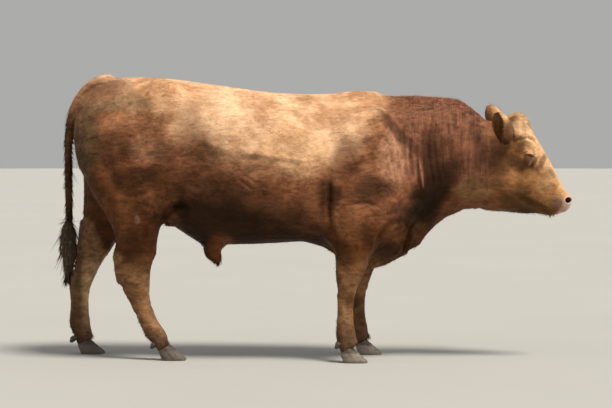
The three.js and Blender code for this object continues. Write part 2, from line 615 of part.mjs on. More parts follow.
withSides((side, name) => {
  const along = side === LEFT ? [-1.2, side * 0.7, 1.6] : [-0.2, side * 0.6, 1];
  const opening = side === LEFT ? [1, side * 0.5, -0.1] : [-0.85, side, 0];
  const [x, y, z] = earRoot(side);
  const leaf = ear([x - (side === LEFT ? 10 : 12), y + side * 30, z + (side === LEFT ? 12 : -26)], along, opening);
  addPiece("ear_" + name, largest(clearOf(leaf, skull, [0, side, 0])), hide);
});

// ---------------------------------------------------------------------------------------------
// Neck, trunk and croup
// ---------------------------------------------------------------------------------------------
addPiece(
  "neck",
  largest(body([240, -340, 380], [960, 340, 1400], [94, 68, 70]).intersect(behind(planes.nape)).intersect(ahead(planes.neckRoot))),
  hide,
);
// the space that each forelimb is taken out of, below the elbow
const foreBox = (side, grow) =>
  block(
    [30 - grow, Math.min(side * (95 - grow), side * 480), -100],
    [420 + grow, Math.max(side * (95 - grow), side * 480), 610 + grow],
  );
const sheathBox = (grow) => block([-620 - grow, -100, 300], [-420 + grow, 100, 546 + grow]);
let trunk = body([-900, -420, 380], [520, 420, 1440], [130, 78, 79])
  .intersect(behind(planes.neckRoot))
  .intersect(ahead(planes.flank))
  .subtract(sheathBox(0))
  .subtract(block([-1000, -440, 300], [-668, 440, 612]));
for (const side of [RIGHT, LEFT]) trunk = trunk.subtract(foreBox(side, 0));
addPiece("trunk", largest(trunk), hide);
addPiece("sheath", largest(body([-600, -90, 440], [-430, 90, 580], [24, 24, 24]).intersect(sheathBox(-GAP))), hide);
const quarters = body([-1309, -411, 611], [-500, 420, 1480], [78, 74, 77]).intersect(behind(planes.flank));
addPiece("croup", largest(quarters.intersect(ahead(planes.croup))), hide);
const PURSE_TOP = 735;
const purse = body([-960, -64, 540], [-800, 64, 800], [32, 29, 36]);
const purseBox = (grow) => block([-960 - grow, -53 - grow, 500], [-800 + grow, 53 + grow, PURSE_TOP + grow]);
addPiece("scrotum", largest(purse.intersect(purseBox(-GAP))), hide);

// ---------------------------------------------------------------------------------------------
// Legs: each is parted at the knee or hock, at the fetlock and at the coronet
// ---------------------------------------------------------------------------------------------
const CUTS = {
  fore: { upper: 900, joint: 336, fetlock: 188, dewclaw: [-91, 87] },
  hind: { upper: 690, joint: 350, fetlock: 190, dewclaw: [-106, 76] },
};
function foot(limb, name, centre, fine, cut, side) {
  const coronet = { point: vec(centre[0] - 26, 0, HOOF.toeHeight), normal: vec(-HOOF.coronetSlope, 0, 1) };
  const pastern = largest(fine.intersect(slab(-100, cut.fetlock)).intersect(ahead(coronet)));
  addPiece(`${limb}_pastern_${name}`, pastern, hide);
  for (const [which, out] of [["outer", side], ["inner", -side]]) {
    const horn = claw(centre[0], centre[1] + out * 25.5, -out).intersect(behind(coronet));
    addPiece(`${limb}_claw_${name}_${which}`, largest(horn), hornStuff);
    const [x, z] = [centre[0] + cut.dewclaw[0], cut.dewclaw[1]];
    const y = centre[1] + out * 24;
    const spur = tapered(
      [[x + 34, y, z + 14], [x + 12, y, z + 6], [x - 2, y, z - 6], [x - 4, y, z - 18]],
      [[15, 16], [16, 17], [15, 15], [8, 9]],
      2,
      6,
    );
    addPiece(`${limb}_dewclaw_${name}_${which}`, largest(clearOf(spur, pastern, [-1, 0, 0])), hornStuff);
  }
}
withSides((side, name) => {
  const across = [Math.min(side * 20, side * 440), Math.max(side * 20, side * 440)];
  const half = side === RIGHT ? behind(planes.middle) : ahead(planes.middle);
  const thigh = quarters.intersect(behind(planes.croup)).intersect(half).intersect(slab(CUTS.hind.upper, 3000));
  addPiece("thigh_" + name, largest(thigh.subtract(purseBox(0))), hide);

  const hind = body([-1360, across[0], -20], [-600, across[1], 740], [48, 46, 70]).intersect(behind(planes.flank)).subtract(purseBox(0));
  addPiece("gaskin_" + name, largest(hind.intersect(slab(CUTS.hind.joint, CUTS.hind.upper))), hide);
  const hindFine = body([-1360, across[0], -20], [-600, across[1], 400], [33, 31, 45]);
  addPiece("hind_cannon_" + name, largest(hindFine.intersect(slab(CUTS.hind.fetlock, CUTS.hind.joint))), hide);
  const hindX = side === RIGHT ? -698 : -1150;
  foot("hind", name, [hindX, side * 152], hindFine, CUTS.hind, side);

  const fore = body([0, across[0], -20], [520, across[1], 720], [49, 45, 69]).intersect(foreBox(side, -GAP));
  addPiece("forearm_" + name, largest(fore.intersect(slab(CUTS.fore.joint, CUTS.fore.upper))), hide);
  const foreFine = body([0, across[0], -20], [520, across[1], 400], [33, 31, 45]);
  addPiece("fore_cannon_" + name, largest(foreFine.intersect(slab(CUTS.fore.fetlock, CUTS.fore.joint))), hide);
  const foreX = side === RIGHT ? 208 : 208 + FORE_LEAD + 14;
  const foreY = side === RIGHT ? -222 : 194;
  foot("fore", name, [foreX, foreY], foreFine, CUTS.fore, side);
});

// ---------------------------------------------------------------------------------------------
// Tail: the dock hangs from the croup behind the buttocks and ends in the switch
// ---------------------------------------------------------------------------------------------
const SWITCH_TOP = 700;
const DOCK = [[-1010, 0, 1396], [-1085, 0, 1392], [-1160, 0, 1340], [-1222, 0, 1245], [-1246, 0, 1110], [-1248, 0, 930], [-1246, 0, 690]];
const dock = tapered(DOCK, [[48, 34], [50, 38], [40, 34], [30, 27], [24, 22], [20, 19], [17, 16]], 12, 10);
addPiece("tail_dock", largest(clearOf(dock, quarters, [-0.7, 0, 0.7]).intersect(slab(SWITCH_TOP, 3000))), hide);
const SWITCH = [[-1246, 0, SWITCH_TOP + 8], [-1250, 0, 630], [-1249, 0, 540], [-1252, 0, 460], [-1262, 0, 382]];
const hair = tapered(SWITCH, [[18, 17], [38, 46], [40, 44], [26, 28], [6, 7]], 8, 10);
addPiece("tail_switch", hair.intersect(slab(0, SWITCH_TOP)), tailHair);

// The origin is the middle of the floor under the whole animal.
const reach = new THREE.Box3().setFromObject(root);
const middle = reach.getCenter(vec(0, 0, 0));
root.position.set(-middle.x, -middle.y, -reach.min.z);

export default root;
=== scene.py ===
import math

import bmesh
import bpy
import numpy as np
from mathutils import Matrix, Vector
from mathutils.kdtree import KDTree


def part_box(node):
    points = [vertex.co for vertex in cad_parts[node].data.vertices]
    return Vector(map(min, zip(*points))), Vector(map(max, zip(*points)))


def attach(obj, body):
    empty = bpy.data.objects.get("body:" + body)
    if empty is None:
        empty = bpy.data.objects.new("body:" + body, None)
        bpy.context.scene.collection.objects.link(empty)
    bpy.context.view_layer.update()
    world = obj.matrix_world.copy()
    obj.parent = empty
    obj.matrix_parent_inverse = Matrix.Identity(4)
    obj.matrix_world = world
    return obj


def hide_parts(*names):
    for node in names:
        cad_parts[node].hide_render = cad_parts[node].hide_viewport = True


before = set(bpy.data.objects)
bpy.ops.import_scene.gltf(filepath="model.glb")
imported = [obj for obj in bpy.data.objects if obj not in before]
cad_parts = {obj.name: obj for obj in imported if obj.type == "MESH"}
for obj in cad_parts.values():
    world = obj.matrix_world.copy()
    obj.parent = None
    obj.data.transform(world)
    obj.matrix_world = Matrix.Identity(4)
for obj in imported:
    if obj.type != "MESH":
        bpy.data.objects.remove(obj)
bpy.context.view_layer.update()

scene = bpy.context.scene
bpy.ops.object.select_all(action="DESELECT")

# --- The studio ------------------------------------------------------------------------------
# A hall floor of pale screed, wide enough to run out of sight, under an even pale light. Three far
# lamps: a strong one high over the back, and two weak, very soft ones before and behind.


class Wire:
    """The output of a node. Sums on wires add the Math nodes."""

    def __init__(self, finish, socket):
        self.finish, self.socket = finish, socket

    def sum(self, how, *values):
        return self.finish.node("ShaderNodeMath", {"operation": how}, *values)

    def __add__(self, other):
        return self.sum("ADD", self, other)

    def __sub__(self, other):
        return self.sum("SUBTRACT", self, other)

    def __rsub__(self, other):
        return self.sum("SUBTRACT", other, self)

    def __mul__(self, other):
        return self.sum("MULTIPLY", self, other)

    def __truediv__(self, other):
        return self.sum("DIVIDE", self, other)

    def __pow__(self, other):
        return self.sum("POWER", self, other)

    __radd__, __rmul__ = __add__, __mul__


class Finish:
    """A surface finish: one shader and the nodes that feed it."""

    def __init__(self, name, **fixed):
        self.material = bpy.data.materials.new(name)
        self.material.use_nodes = True
        self.tree = self.material.node_tree
        self.shader = self.tree.nodes["Principled BSDF"]
        for socket, value in fixed.items():
            self.shader.inputs[socket.replace("_", " ")].default_value = value

    def node(self, kind, settings=None, *values, out=0, **named):
        made = self.tree.nodes.new(kind)
        for key, value in (settings or {}).items():
            if key == "stops":
                ramp = made.color_ramp
                while len(ramp.elements) < len(value):
                    ramp.elements.new(0.5)
                for element, (place, colour) in zip(ramp.elements, value):
                    element.position, element.color = place, (*colour, 1)
            else:
                setattr(made, key, value)
        sockets = list(enumerate(values)) + [(k.replace("_", " "), v) for k, v in named.items()]
        for socket, value in sockets:
            if value is None:
                continue
            if isinstance(value, Wire):
                self.tree.links.new(value.socket, made.inputs[socket])
            else:
                made.inputs[socket].default_value = value
        return Wire(self, made.outputs[out])

    def place(self, turn=(0, 0, 0), scale=(1, 1, 1), shift=(0, 0, 0)):
        at = self.node("ShaderNodeTexCoord", out="Object")
        return self.node("ShaderNodeMapping", {}, at, shift, turn, scale)

    def axes(self):
        at = self.node("ShaderNodeTexCoord", out="Object")
        return [self.node("ShaderNodeSeparateXYZ", {}, at, out=i) for i in range(3)]

    def noise(self, scale, at=None, detail=3.0, rough=0.5, twist=0.0):
        return self.node("ShaderNodeTexNoise", {}, Vector=at or self.place(), Scale=scale, Detail=detail,
                         Roughness=rough, Distortion=twist)

    def step(self, value, low, high):
        return self.node("ShaderNodeMapRange", {"interpolation_type": "SMOOTHSTEP"}, value, low, high)

    def blend(self, share, first, second, how="MIX"):
        first, second = [(*c, 1) if isinstance(c, tuple) else c for c in (first, second)]
        return self.node("ShaderNodeMix", {"data_type": "RGBA", "blend_type": how}, share,
                         *[None] * 5, first, second, out=2)

    def bump(self, height, strength, depth, under=None):
        return self.node("ShaderNodeBump", {}, Strength=strength, Distance=depth, Height=height, Normal=under)

    def feed(self, **sockets):
        for socket, wire in sockets.items():
            self.tree.links.new(wire.socket, self.shader.inputs[socket.replace("_", " ")])
        return self.material


screed = Finish("pale_screed", Roughness=0.85)
cloud = screed.noise(0.7, detail=2.0)
grit = screed.noise(60.0, detail=4.0)
screed.feed(
    Base_Color=screed.blend(cloud * 0.7 + grit * 0.3, (0.335, 0.33, 0.315), (0.375, 0.37, 0.355)),
    Normal=screed.bump(grit, 0.2, 0.0008),
)
bpy.ops.mesh.primitive_circle_add(vertices=96, radius=60, fill_type="NGON")
floor = bpy.context.active_object
floor.name = "floor"
floor.data.materials.append(screed.material)

world = bpy.data.worlds.new("hall_light")
world.use_nodes = True
world.node_tree.nodes["Background"].inputs["Color"].default_value = (0.98, 0.98, 0.96, 1)
world.node_tree.nodes["Background"].inputs["Strength"].default_value = 0.42
scene.world = world
scene.view_settings.view_transform = "Standard"

for name, way, soft, power, tint in [
    ("lamp_over_back", (0.36, -0.36, 1.0), 18, 4.5, (1.0, 0.94, 0.84)),
    ("lamp_before_face", (1.0, -0.12, 0.45), 45, 0.8, (1.0, 0.96, 0.9)),
    ("lamp_behind", (-1.0, -0.5, 0.35), 50, 0.55, (1.0, 0.94, 0.84)),
]:
    bpy.ops.object.light_add(type="SUN", location=(0, 0, 4))
    lamp = bpy.context.active_object
    lamp.name = name
    lamp.data.energy, lamp.data.color, lamp.data.angle = power, tint, math.radians(soft)
    lamp.rotation_euler = Vector(way).to_track_quat("Z", "Y").to_euler()

turned, tipped = math.radians(3), math.radians(1.85)
aim, away, eye_level = -0.0428, 11, 1.13
bpy.ops.object.camera_add(
    location=(aim + away * math.sin(turned), -away * math.cos(turned), eye_level),
    rotation=(math.pi / 2 - tipped, 0, turned),
)
camera = bpy.context.active_object
camera.data.sensor_width, camera.data.lens = 36, 36 * 2189 / 612
scene.camera = camera

# --- The skin --------------------------------------------------------------------------------
# One hide over the whole body, with no seam between head, neck, trunk, legs and tail. It is cast
# round the flesh solids, smoothed, and sunk inside them by the depth of the short coat.
FLESH = [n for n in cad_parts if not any(k in n for k in ("claw", "eye", "ear_", "switch"))]
COAT_DEPTH = 0.0035
SWELL = 0.003


def alone(thing):
    bpy.ops.object.select_all(action="DESELECT")
    thing.select_set(True)
    bpy.context.view_layer.objects.active = thing
    return thing


def cast_of(nodes, name):
    """A copy of some solids as one merged mesh."""
    copies = []
    for node in nodes:
        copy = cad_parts[node].copy()
        copy.data = copy.data.copy()
        copy.parent = None
        for key in list(copy.keys()):
            del copy[key]
        scene.collection.objects.link(copy)
        copies.append(copy)
    bpy.ops.object.select_all(action="DESELECT")
    for copy in copies:
        copy.select_set(True)
    bpy.context.view_layer.objects.active = copies[0]
    if len(copies) > 1:
        bpy.ops.object.join()
    cast = bpy.context.active_object
    cast.name = cast.data.name = name
    cast.data.materials.clear()
    bpy.ops.object.mode_set(mode="EDIT")
    bpy.ops.mesh.select_all(action="SELECT")
    bpy.ops.mesh.remove_doubles(threshold=1e-5)
    bpy.ops.mesh.normals_make_consistent(inside=False)
    bpy.ops.object.mode_set(mode="OBJECT")
    return cast


def remeshed(thing, cell):
    way = thing.modifiers.new("remesh", "REMESH")
    way.mode, way.voxel_size = "VOXEL", cell
    alone(thing)
    bpy.ops.object.modifier_apply(modifier=way.name)


def points_of(mesh):
    flat = np.empty(len(mesh.vertices) * 3, np.float32)
    mesh.vertices.foreach_get("co", flat)
    return flat.reshape(-1, 3).astype(float)


def put_points(mesh, points):
    mesh.vertices.foreach_set("co", np.asarray(points, np.float32).ravel())
    mesh.update()


def normals_of(mesh):
    flat = np.empty(len(mesh.vertices) * 3, np.float32)
    mesh.vertex_normals.foreach_get("vector", flat)
    return flat.reshape(-1, 3).astype(float)


def edges_of(mesh):
    flat = np.empty(len(mesh.edges) * 2, np.int32)
    mesh.edges.foreach_get("vertices", flat)
    return flat.reshape(-1, 2).T


def relaxed(points, edges, passes, pull=0.5, push=-0.53, share=1.0):
    """Smoothing that pulls towards the neighbours and then pushes back, so nothing shrinks."""
    a, b = edges
    count = np.maximum(np.bincount(a, minlength=len(points)) + np.bincount(b, minlength=len(points)), 1)
    share = np.broadcast_to(share, len(points))[:, None]
    for k in range(passes):
        near = np.stack([np.bincount(a, points[b, i], len(points)) + np.bincount(b, points[a, i], len(points))
                         for i in range(3)], 1) / count[:, None]
        points = points + (push if k % 2 else pull) * share * (near - points)
    return points


def ease(value, low, high):
    t = np.clip((value - low) / (high - low), 0, 1)
    return t * t * (3 - 2 * t)


def spread(points, values, targets, reach):
    """Values held at some points, carried over to others near them."""
    tree = KDTree(len(points))
    for i, p in enumerate(points):
        tree.insert(p, i)
    tree.balance()
    found = [tree.find_n(p, 6) for p in targets]
    index = np.array([[f[1] for f in row] for row in found])
    gap = np.array([[f[2] for f in row] for row in found])
    weight = np.exp(-(gap / reach) ** 2) + 1e-9
    weight /= weight.sum(1, keepdims=True)
    return (values[index] * weight[:, :, None]).sum(1)


skin = cast_of(FLESH, "skin")
put_points(skin.data, points_of(skin.data) + normals_of(skin.data) * SWELL)
broad = skin.copy()
broad.data = skin.data.copy()
scene.collection.objects.link(broad)
remeshed(broad, 0.022)
remeshed(skin, 0.008)

# The big forms are eased on the coarse cast, and the fine one takes the same moves.
rough = points_of(broad.data)
once = relaxed(rough, edges_of(broad.data), 16, push=0.5)
twice = relaxed(once, edges_of(broad.data), 16, push=0.5)
fine = points_of(skin.data)
moves = spread(rough, 2 * once - twice - rough, fine, 0.018)
x, y, z = fine.T
fleshy = ease(z, 0.66, 0.84) * (1 - ease(x, 0.80, 0.92)) * ease(x, -1.22, -1.10)
belly = ease(z, 0.50, 0.60) * ease(x, -0.42, -0.36) * (1 - ease(x, 0.40, 0.48))
fine = fine + moves * np.maximum(fleshy, belly)[:, None]
bpy.data.objects.remove(broad)
x, y, z = fine.T
slender = np.maximum(1 - ease(z, 0.55, 0.75), 1 - ease(x, -1.24, -1.16))
give = 1 - 0.25 * ease(x, 0.93, 1.0) - 0.25 * slender
fine = relaxed(fine, edges_of(skin.data), 44, push=-0.52, share=give)
put_points(skin.data, fine)
fine = fine - normals_of(skin.data) * (SWELL + COAT_DEPTH * (0.4 + 0.6 * ease(z, 0.2, 0.7)))[:, None]
put_points(skin.data, fine)


def stroke(points, normals, path, reach, rise, look="side", only=0, shift=0.0, crisp=False):
    """Raises or sinks the hide along a line drawn from the side, from above, below or in front.
    The line is in millimetres and falls on both flanks, or on the one named by only."""
    axes, out = {"side": ((0, 2), 1), "top": ((0, 1), 2), "under": ((0, 1), 2), "front": ((1, 2), 0)}[look]
    seen = points[:, axes].copy()
    face = normals[:, out] * {"side": np.sign(points[:, 1]), "under": -1.0}.get(look, 1.0)
    if look != "side":
        seen[:, axes.index(1)] = np.abs(seen[:, axes.index(1)])
    line = np.array(path, float) / 1000
    line[:, 0] += shift if look != "front" else 0
    near = (seen > line.min(0) - 3 * reach / 1000).all(1) & (seen < line.max(0) + 3 * reach / 1000).all(1)
    if only:
        near &= points[:, 1] * only > 0
    index = np.flatnonzero(near)
    here, best, way = seen[index], np.full(len(index), 9.0), np.zeros(len(index))
    for k, (start, end) in enumerate(zip(line[:-1], line[1:])):
        run = end - start
        t = np.clip(((here - start) @ run) / (run @ run), 0, 1)
        gap = np.linalg.norm(here - start - t[:, None] * run, axis=1)
        way = np.where(gap < best, (k + t) / (len(line) - 1), way)
        best = np.minimum(best, gap)
    gap = best / (reach / 1000)
    shape = np.exp(-gap ** 2)
    if crisp:
        shape = np.exp(-(gap / 0.6) ** 2) - 0.35 * np.exp(-((gap - 1.5) / 0.6) ** 2)
    if len(line) > 2 or crisp:
        shape = shape * (0.25 + 0.75 * ease(way, 0, 0.2) * (1 - ease(way, 0.8, 1)))
    amount = rise / 1000 * shape * ease(face[index], 0.05, 0.45)
    points[index] += normals[index] * amount[:, None]


def carve(thing, strokes, relief=1.0):
    points = points_of(thing.data)
    for k in range(0, len(strokes), 6):
        normals = normals_of(thing.data)
        for path, reach, rise, *rest in strokes[k:k + 6]:
            stroke(points, normals, path, reach, rise * relief, **(rest[0] if rest else {}))
        put_points(thing.data, points)


CRISP = {"crisp": True}
shoulder_and_neck = [
    ([(95, 905), (88, 845), (87, 760), (94, 690), (108, 628)], 17, -12, CRISP),
    ([(30, 850), (25, 740)], 50, 4),
    ([(365, 1262), (390, 1200), (425, 1115), (462, 1035), (492, 962)], 42, -9),
    ([(150, 1215), (185, 1080), (215, 960)], 55, 5),
    ([(300, 1080), (330, 960), (350, 860)], 60, 5),
    ([(150, 850), (165, 760)], 55, 5),
    ([(190, 778), (232, 790), (275, 790), (318, 778)], 13, -5, CRISP),
    ([(222, 812), (250, 808), (275, 815)], 9, -3, CRISP),
    ([(440, 700), (395, 692), (360, 668), (330, 622), (305, 560)], 15, -10, CRISP),
    ([(690, 862), (640, 812), (590, 762), (545, 712), (515, 655)], 36, -15),
    ([(528, 1000), (532, 940), (541, 868)], 9, 5),
    ([(512, 1005), (517, 940), (528, 868)], 10, -5),
    ([(512, 690), (480, 655), (462, 600), (445, 535)], 12, -11, CRISP),
    ([(445, 535), (415, 512), (375, 497), (325, 478)], 12, -9, CRISP),
    ([(495, 610), (505, 570)], 38, 6),
    ([(400, 620), (385, 575)], 42, 8),
    ([(560, 820), (470, 800), (420, 740)], 26, -7),
]
for k in range(9):
    top = 640 - 31 * k
    shoulder_and_neck.append((
        [(top + 12, 1225 - 4 * k), (top - 8, 1130), (top - 10, 1040), (top + 4, 950), (top + 16, 890)],
        9, -1.8 - 0.5 * (k % 3), CRISP))
carve(skin, shoulder_and_neck, relief=1.5)
carve(skin, [
    ([(-752, 668), (-735, 712), (-705, 755), (-660, 775), (-622, 760)], 18, -12, CRISP),
    ([(-700, 700), (-670, 735), (-630, 742)], 22, 7),
    ([(-660, 760), (-600, 722), (-547, 682), (-458, 645), (-334, 634), (-209, 640), (-62, 646)], 26, 5),
    ([(-470, 1075), (-505, 990), (-560, 905), (-620, 830)], 62, -14),
    ([(-640, 1180), (-600, 1230)], 70, -6),
    ([(-1050, 1010), (-1005, 940), (-957, 862), (-930, 800)], 30, -8),
    ([(-880, 1000), (-850, 900), (-822, 830)], 60, 8),
    ([(-1120, 1300), (-1165, 1262), (-1190, 1210)], 26, -3),
    ([(-1080, 1180), (-1110, 1090), (-1100, 1000)], 55, 6),
    ([(-820, 835), (-790, 780), (-778, 710)], 36, 8),
    ([(-374, 1039), (-276, 1029), (-129, 1009), (3, 990)], 13, 3.4),
    ([(-380, 1010), (-270, 1000), (-150, 978)], 16, -2.4),
    ([(-352, 900), (-322, 884), (-286, 853)], 9, -4, CRISP),
    ([(-330, 925), (-300, 912), (-262, 880)], 8, -2.5, CRISP),
    ([(-815, 1372), (-754, 1357), (-690, 1336)], 32, 7),
    ([(-600, 1385), (-200, 1350), (150, 1345)], 30, 0.1),
    ([(-1190, 0), (-1000, 0)], 22, -0.1, {"look": "top"}),
    ([(-950, 0), (-500, 0), (0, 0)], 26, -3.0, {"look": "top"}),
    ([(-560, 0), (-200, 0), (250, 0)], 60, -4.0, {"look": "under"}),
] + [
    ([(-60 - 82 * k, 1130), (-95 - 84 * k, 960), (-150 - 84 * k, 810)], 24, 1.6) for k in range(6)
], relief=1.5)

# The far legs stand further back or forward, so each leg has its own shift.
for side, hind, fore in ((-1, 0.0, 0.0), (1, -0.232, 0.048)):
    behind, before = {"only": side, "shift": hind}, {"only": side, "shift": fore}
    carve(skin, [
        ([(-985, 590), (-958, 548), (-925, 508), (-880, 455)], 15, -9, behind),
        ([(-1000, 520), (-990, 470), (-960, 410)], 14, 4, behind),
        ([(-870, 640), (-845, 560), (-838, 480)], 30, 5, behind),
        ([(-900, 420), (-872, 380), (-850, 330)], 16, 3, behind),
        ([(-925, 380), (-890, 290), (-855, 220)], 10, -3, behind),
        ([(-760, 160), (-748, 130)], 20, 3, behind),
        ([(185, 640), (196, 560), (205, 480)], 32, 6, before),
        ([(262, 620), (240, 520), (228, 440)], 16, -4, before),
        ([(150, 470), (160, 420)], 18, -3, before),
        ([(205, 350), (208, 330)], 30, 4, before),
        ([(165, 300), (170, 240), (172, 200)], 9, -3, before),
        ([(180, 178), (182, 160)], 20, 3, before),
    ])

# Points that stand proud of the limbs, and the sheath, are drawn out or pinched in one by one.
points = points_of(skin.data)
for centre, reach, move in [
    ((-0.985, -0.22, 0.520), (0.050, 0.12, 0.050), (-0.016, 0, 0.004)),
    ((-1.217, 0.22, 0.520), (0.050, 0.12, 0.050), (-0.016, 0, 0.004)),
    ((-0.425, 0.0, 0.545), (0.035, 0.10, 0.035), (-0.016, 0, 0)),
    ((-0.430, 0.0, 0.500), (0.030, 0.10, 0.025), (-0.012, 0, 0)),
]:
    gap = (((points - centre) / reach) ** 2).sum(1)
    points += np.exp(-gap)[:, None] * np.array(move)
put_points(skin.data, points)

# The head takes most of the hide's cells; the body is thinned to leave room for them.
alone(skin)
for chosen, work in (
    (lambda c: c.x < 0.80, lambda: bpy.ops.mesh.decimate(ratio=0.42)),
    (lambda c: c.x > 0.90 and c.z > 0.6, lambda: bpy.ops.mesh.subdivide(number_cuts=1)),
):
    for face in skin.data.polygons:
        face.select = False
    for edge in skin.data.edges:
        edge.select = False
    for vertex in skin.data.vertices:
        vertex.select = False
    for face in skin.data.polygons:
        face.select = chosen(face.center)
    bpy.ops.object.mode_set(mode="EDIT")
    bpy.ops.mesh.select_mode(type="FACE")
    work()
    bpy.ops.object.mode_set(mode="OBJECT")
head_points = points_of(skin.data)
put_points(skin.data, relaxed(head_points, edges_of(skin.data), 8, share=ease(head_points[:, 0], 0.88, 0.92)))

SKULL, DIP = Vector((903.7, 0, 985)), math.radians(28)


def on_head(way, up, side=0.0):
    """A place on the head in millimetres: along the face, up from its axis and out to one side."""
    c, s = math.cos(DIP), math.sin(DIP)
    return Vector((SKULL.x + way * c + up * s, side, SKULL.z - way * s + up * c))


carve(skin, [
    ([(1006, 1090), (1030, 1103), (1062, 1106), (1094, 1090), (1112, 1066)], 9, -6, CRISP),
    ([(1008, 1112), (1045, 1124), (1082, 1117), (1112, 1092)], 15, 6),
    ([(1010, 1075), (1030, 1082), (1055, 1078)], 12, 3),
    ([(930, 1240), (948, 1212), (962, 1172), (978, 1132), (990, 1085)], 13, -10, CRISP),
    ([(985, 1215), (1003, 1180)], 28, 5),
    ([(1088, 1072), (1108, 1046), (1124, 1008), (1130, 968), (1122, 930)], 15, -10),
    ([(1130, 1067), (1152, 1017), (1174, 963), (1204, 908), (1236, 850)], 11, 4.5),
    ([(1080, 985), (1078, 955), (1068, 925), (1042, 888)], 10, -6),
    ([(1098, 975), (1098, 940), (1085, 905), (1062, 875)], 16, 4),
    ([(1020, 985), (1040, 960), (1062, 945)], 18, 4),
    ([(1140, 900), (1150, 869), (1184, 880), (1222, 862)], 15, 4.5),
    ([(1128, 850), (1150, 838), (1176, 842)], 14, -4),
    ([(1206, 822), (1214, 790), (1206, 765)], 20, 4),
    ([(1262, 757), (1243, 745), (1220, 737), (1195, 733), (1168, 739), (1142, 748), (1108, 760)],
     6, -7, CRISP),
    ([(1190, 722), (1165, 726), (1140, 735)], 12, 3),
    ([(1128, 728), (1090, 738), (1040, 745)], 10, -3),
    ([(817, 799), (877, 770), (951, 762), (1027, 752)], 20, 5),
    ([(812, 830), (870, 800), (950, 792), (1030, 790)], 24, -5),
    ([(862, 1050), (845, 973), (836, 899), (856, 830)], 26, -5),
    ([(955, 930), (985, 860), (960, 810)], 46, 5),
    ([(1000, 1030), (985, 990), (990, 950)], 22, -3),
    ([(880, 1075), (925, 1044), (978, 1062)], 16, -6),
    ([(1120, 800), (1080, 800), (1040, 815)], 20, -3),
    ([(1046, 830), (1075, 850), (1100, 880)], 10, 2.5),
    ([(960, 0), (1020, 0), (1060, 0)], 26, 5, {"look": "top"}),
    ([(1075, 40), (1110, 34), (1150, 28)], 12, -3, {"look": "top"}),
    ([(0, 800), (0, 770), (0, 750)], 6, -4, {"look": "front", "crisp": True}),
    ([(26, 812), (40, 818), (56, 822)], 8, 2, {"look": "front"}),
])


def looped(thing, centre, look, way, reach, depth, rings, marks):
    """Cuts a round of hide away and lays new loops in it, from the rim in to a closed floor.
    rings gives (ring number, angle, rim spot) its place: along, across and out, in metres."""
    look = Vector(look).normalized()
    way = (Vector(way) - look * Vector(way).dot(look)).normalized()
    rise = look.cross(way) * (1 if look.cross(way).z > 0 else -1)
    mesh = bmesh.new()
    mesh.from_mesh(thing.data)
    layer = mesh.faces.layers.int.get("opening") or mesh.faces.layers.int.new("opening")
    layer = mesh.faces.layers.int["opening"]

    def local(spot):
        gap = spot - centre
        return gap.dot(way), gap.dot(rise), gap.dot(look)

    lost = []
    for face in mesh.faces:
        if (face.calc_center_median() - centre).length < reach * 2.2:
            a, b, h = local(face.calc_center_median())
            if a * a + b * b < reach * reach and depth < h < 0.06:
                lost.append(face)
    bmesh.ops.delete(mesh, geom=lost, context="FACES")
    rim = [e for e in mesh.edges if e.is_boundary and (e.verts[0].co - centre).length < reach * 2.2]
    links = {}
    for edge in rim:
        for vertex in edge.verts:
            links.setdefault(vertex, []).append(edge.other_vert(vertex))
    loops, seen = [], set()
    for start in links:
        if start in seen:
            continue
        loop, here, last = [start], links[start][0], start
        while here is not start and len(loop) < 2000:
            loop.append(here)
            ahead = [v for v in links[here] if v is not last]
            last, here = here, (ahead or links[here])[0]
        seen.update(loop)
        loops.append(loop)
    loop = max(loops, key=len)
    spots = [local(v.co) for v in loop]
    turn = sum(spots[i - 1][0] * spots[i][1] - spots[i][0] * spots[i - 1][1] for i in range(len(spots)))
    if turn < 0:
        loop.reverse()
        spots.reverse()
    outer = loop
    for k in range(marks):
        inner = []
        for a, b, h in spots:
            p = rings(k, math.atan2(b, a), (a, b, h))
            inner.append(mesh.verts.new(centre + way * p[0] + rise * p[1] + look * p[2]))
        for i in range(len(loop)):
            face = mesh.faces.new((outer[i - 1], outer[i], inner[i], inner[i - 1]))
            face[layer] = 1 + k
            face.smooth = True
        outer = inner
    floor_spot = mesh.verts.new(sum((v.co for v in outer), Vector()) / len(outer))
    for i in range(len(loop)):
        face = mesh.faces.new((outer[i - 1], outer[i], floor_spot))
        face[layer] = 1 + marks
        face.smooth = True
    bmesh.ops.recalc_face_normals(mesh, faces=mesh.faces)
    mesh.to_mesh(thing.data)
    mesh.free()


LID_RINGS = 18
BALL = 0.0232


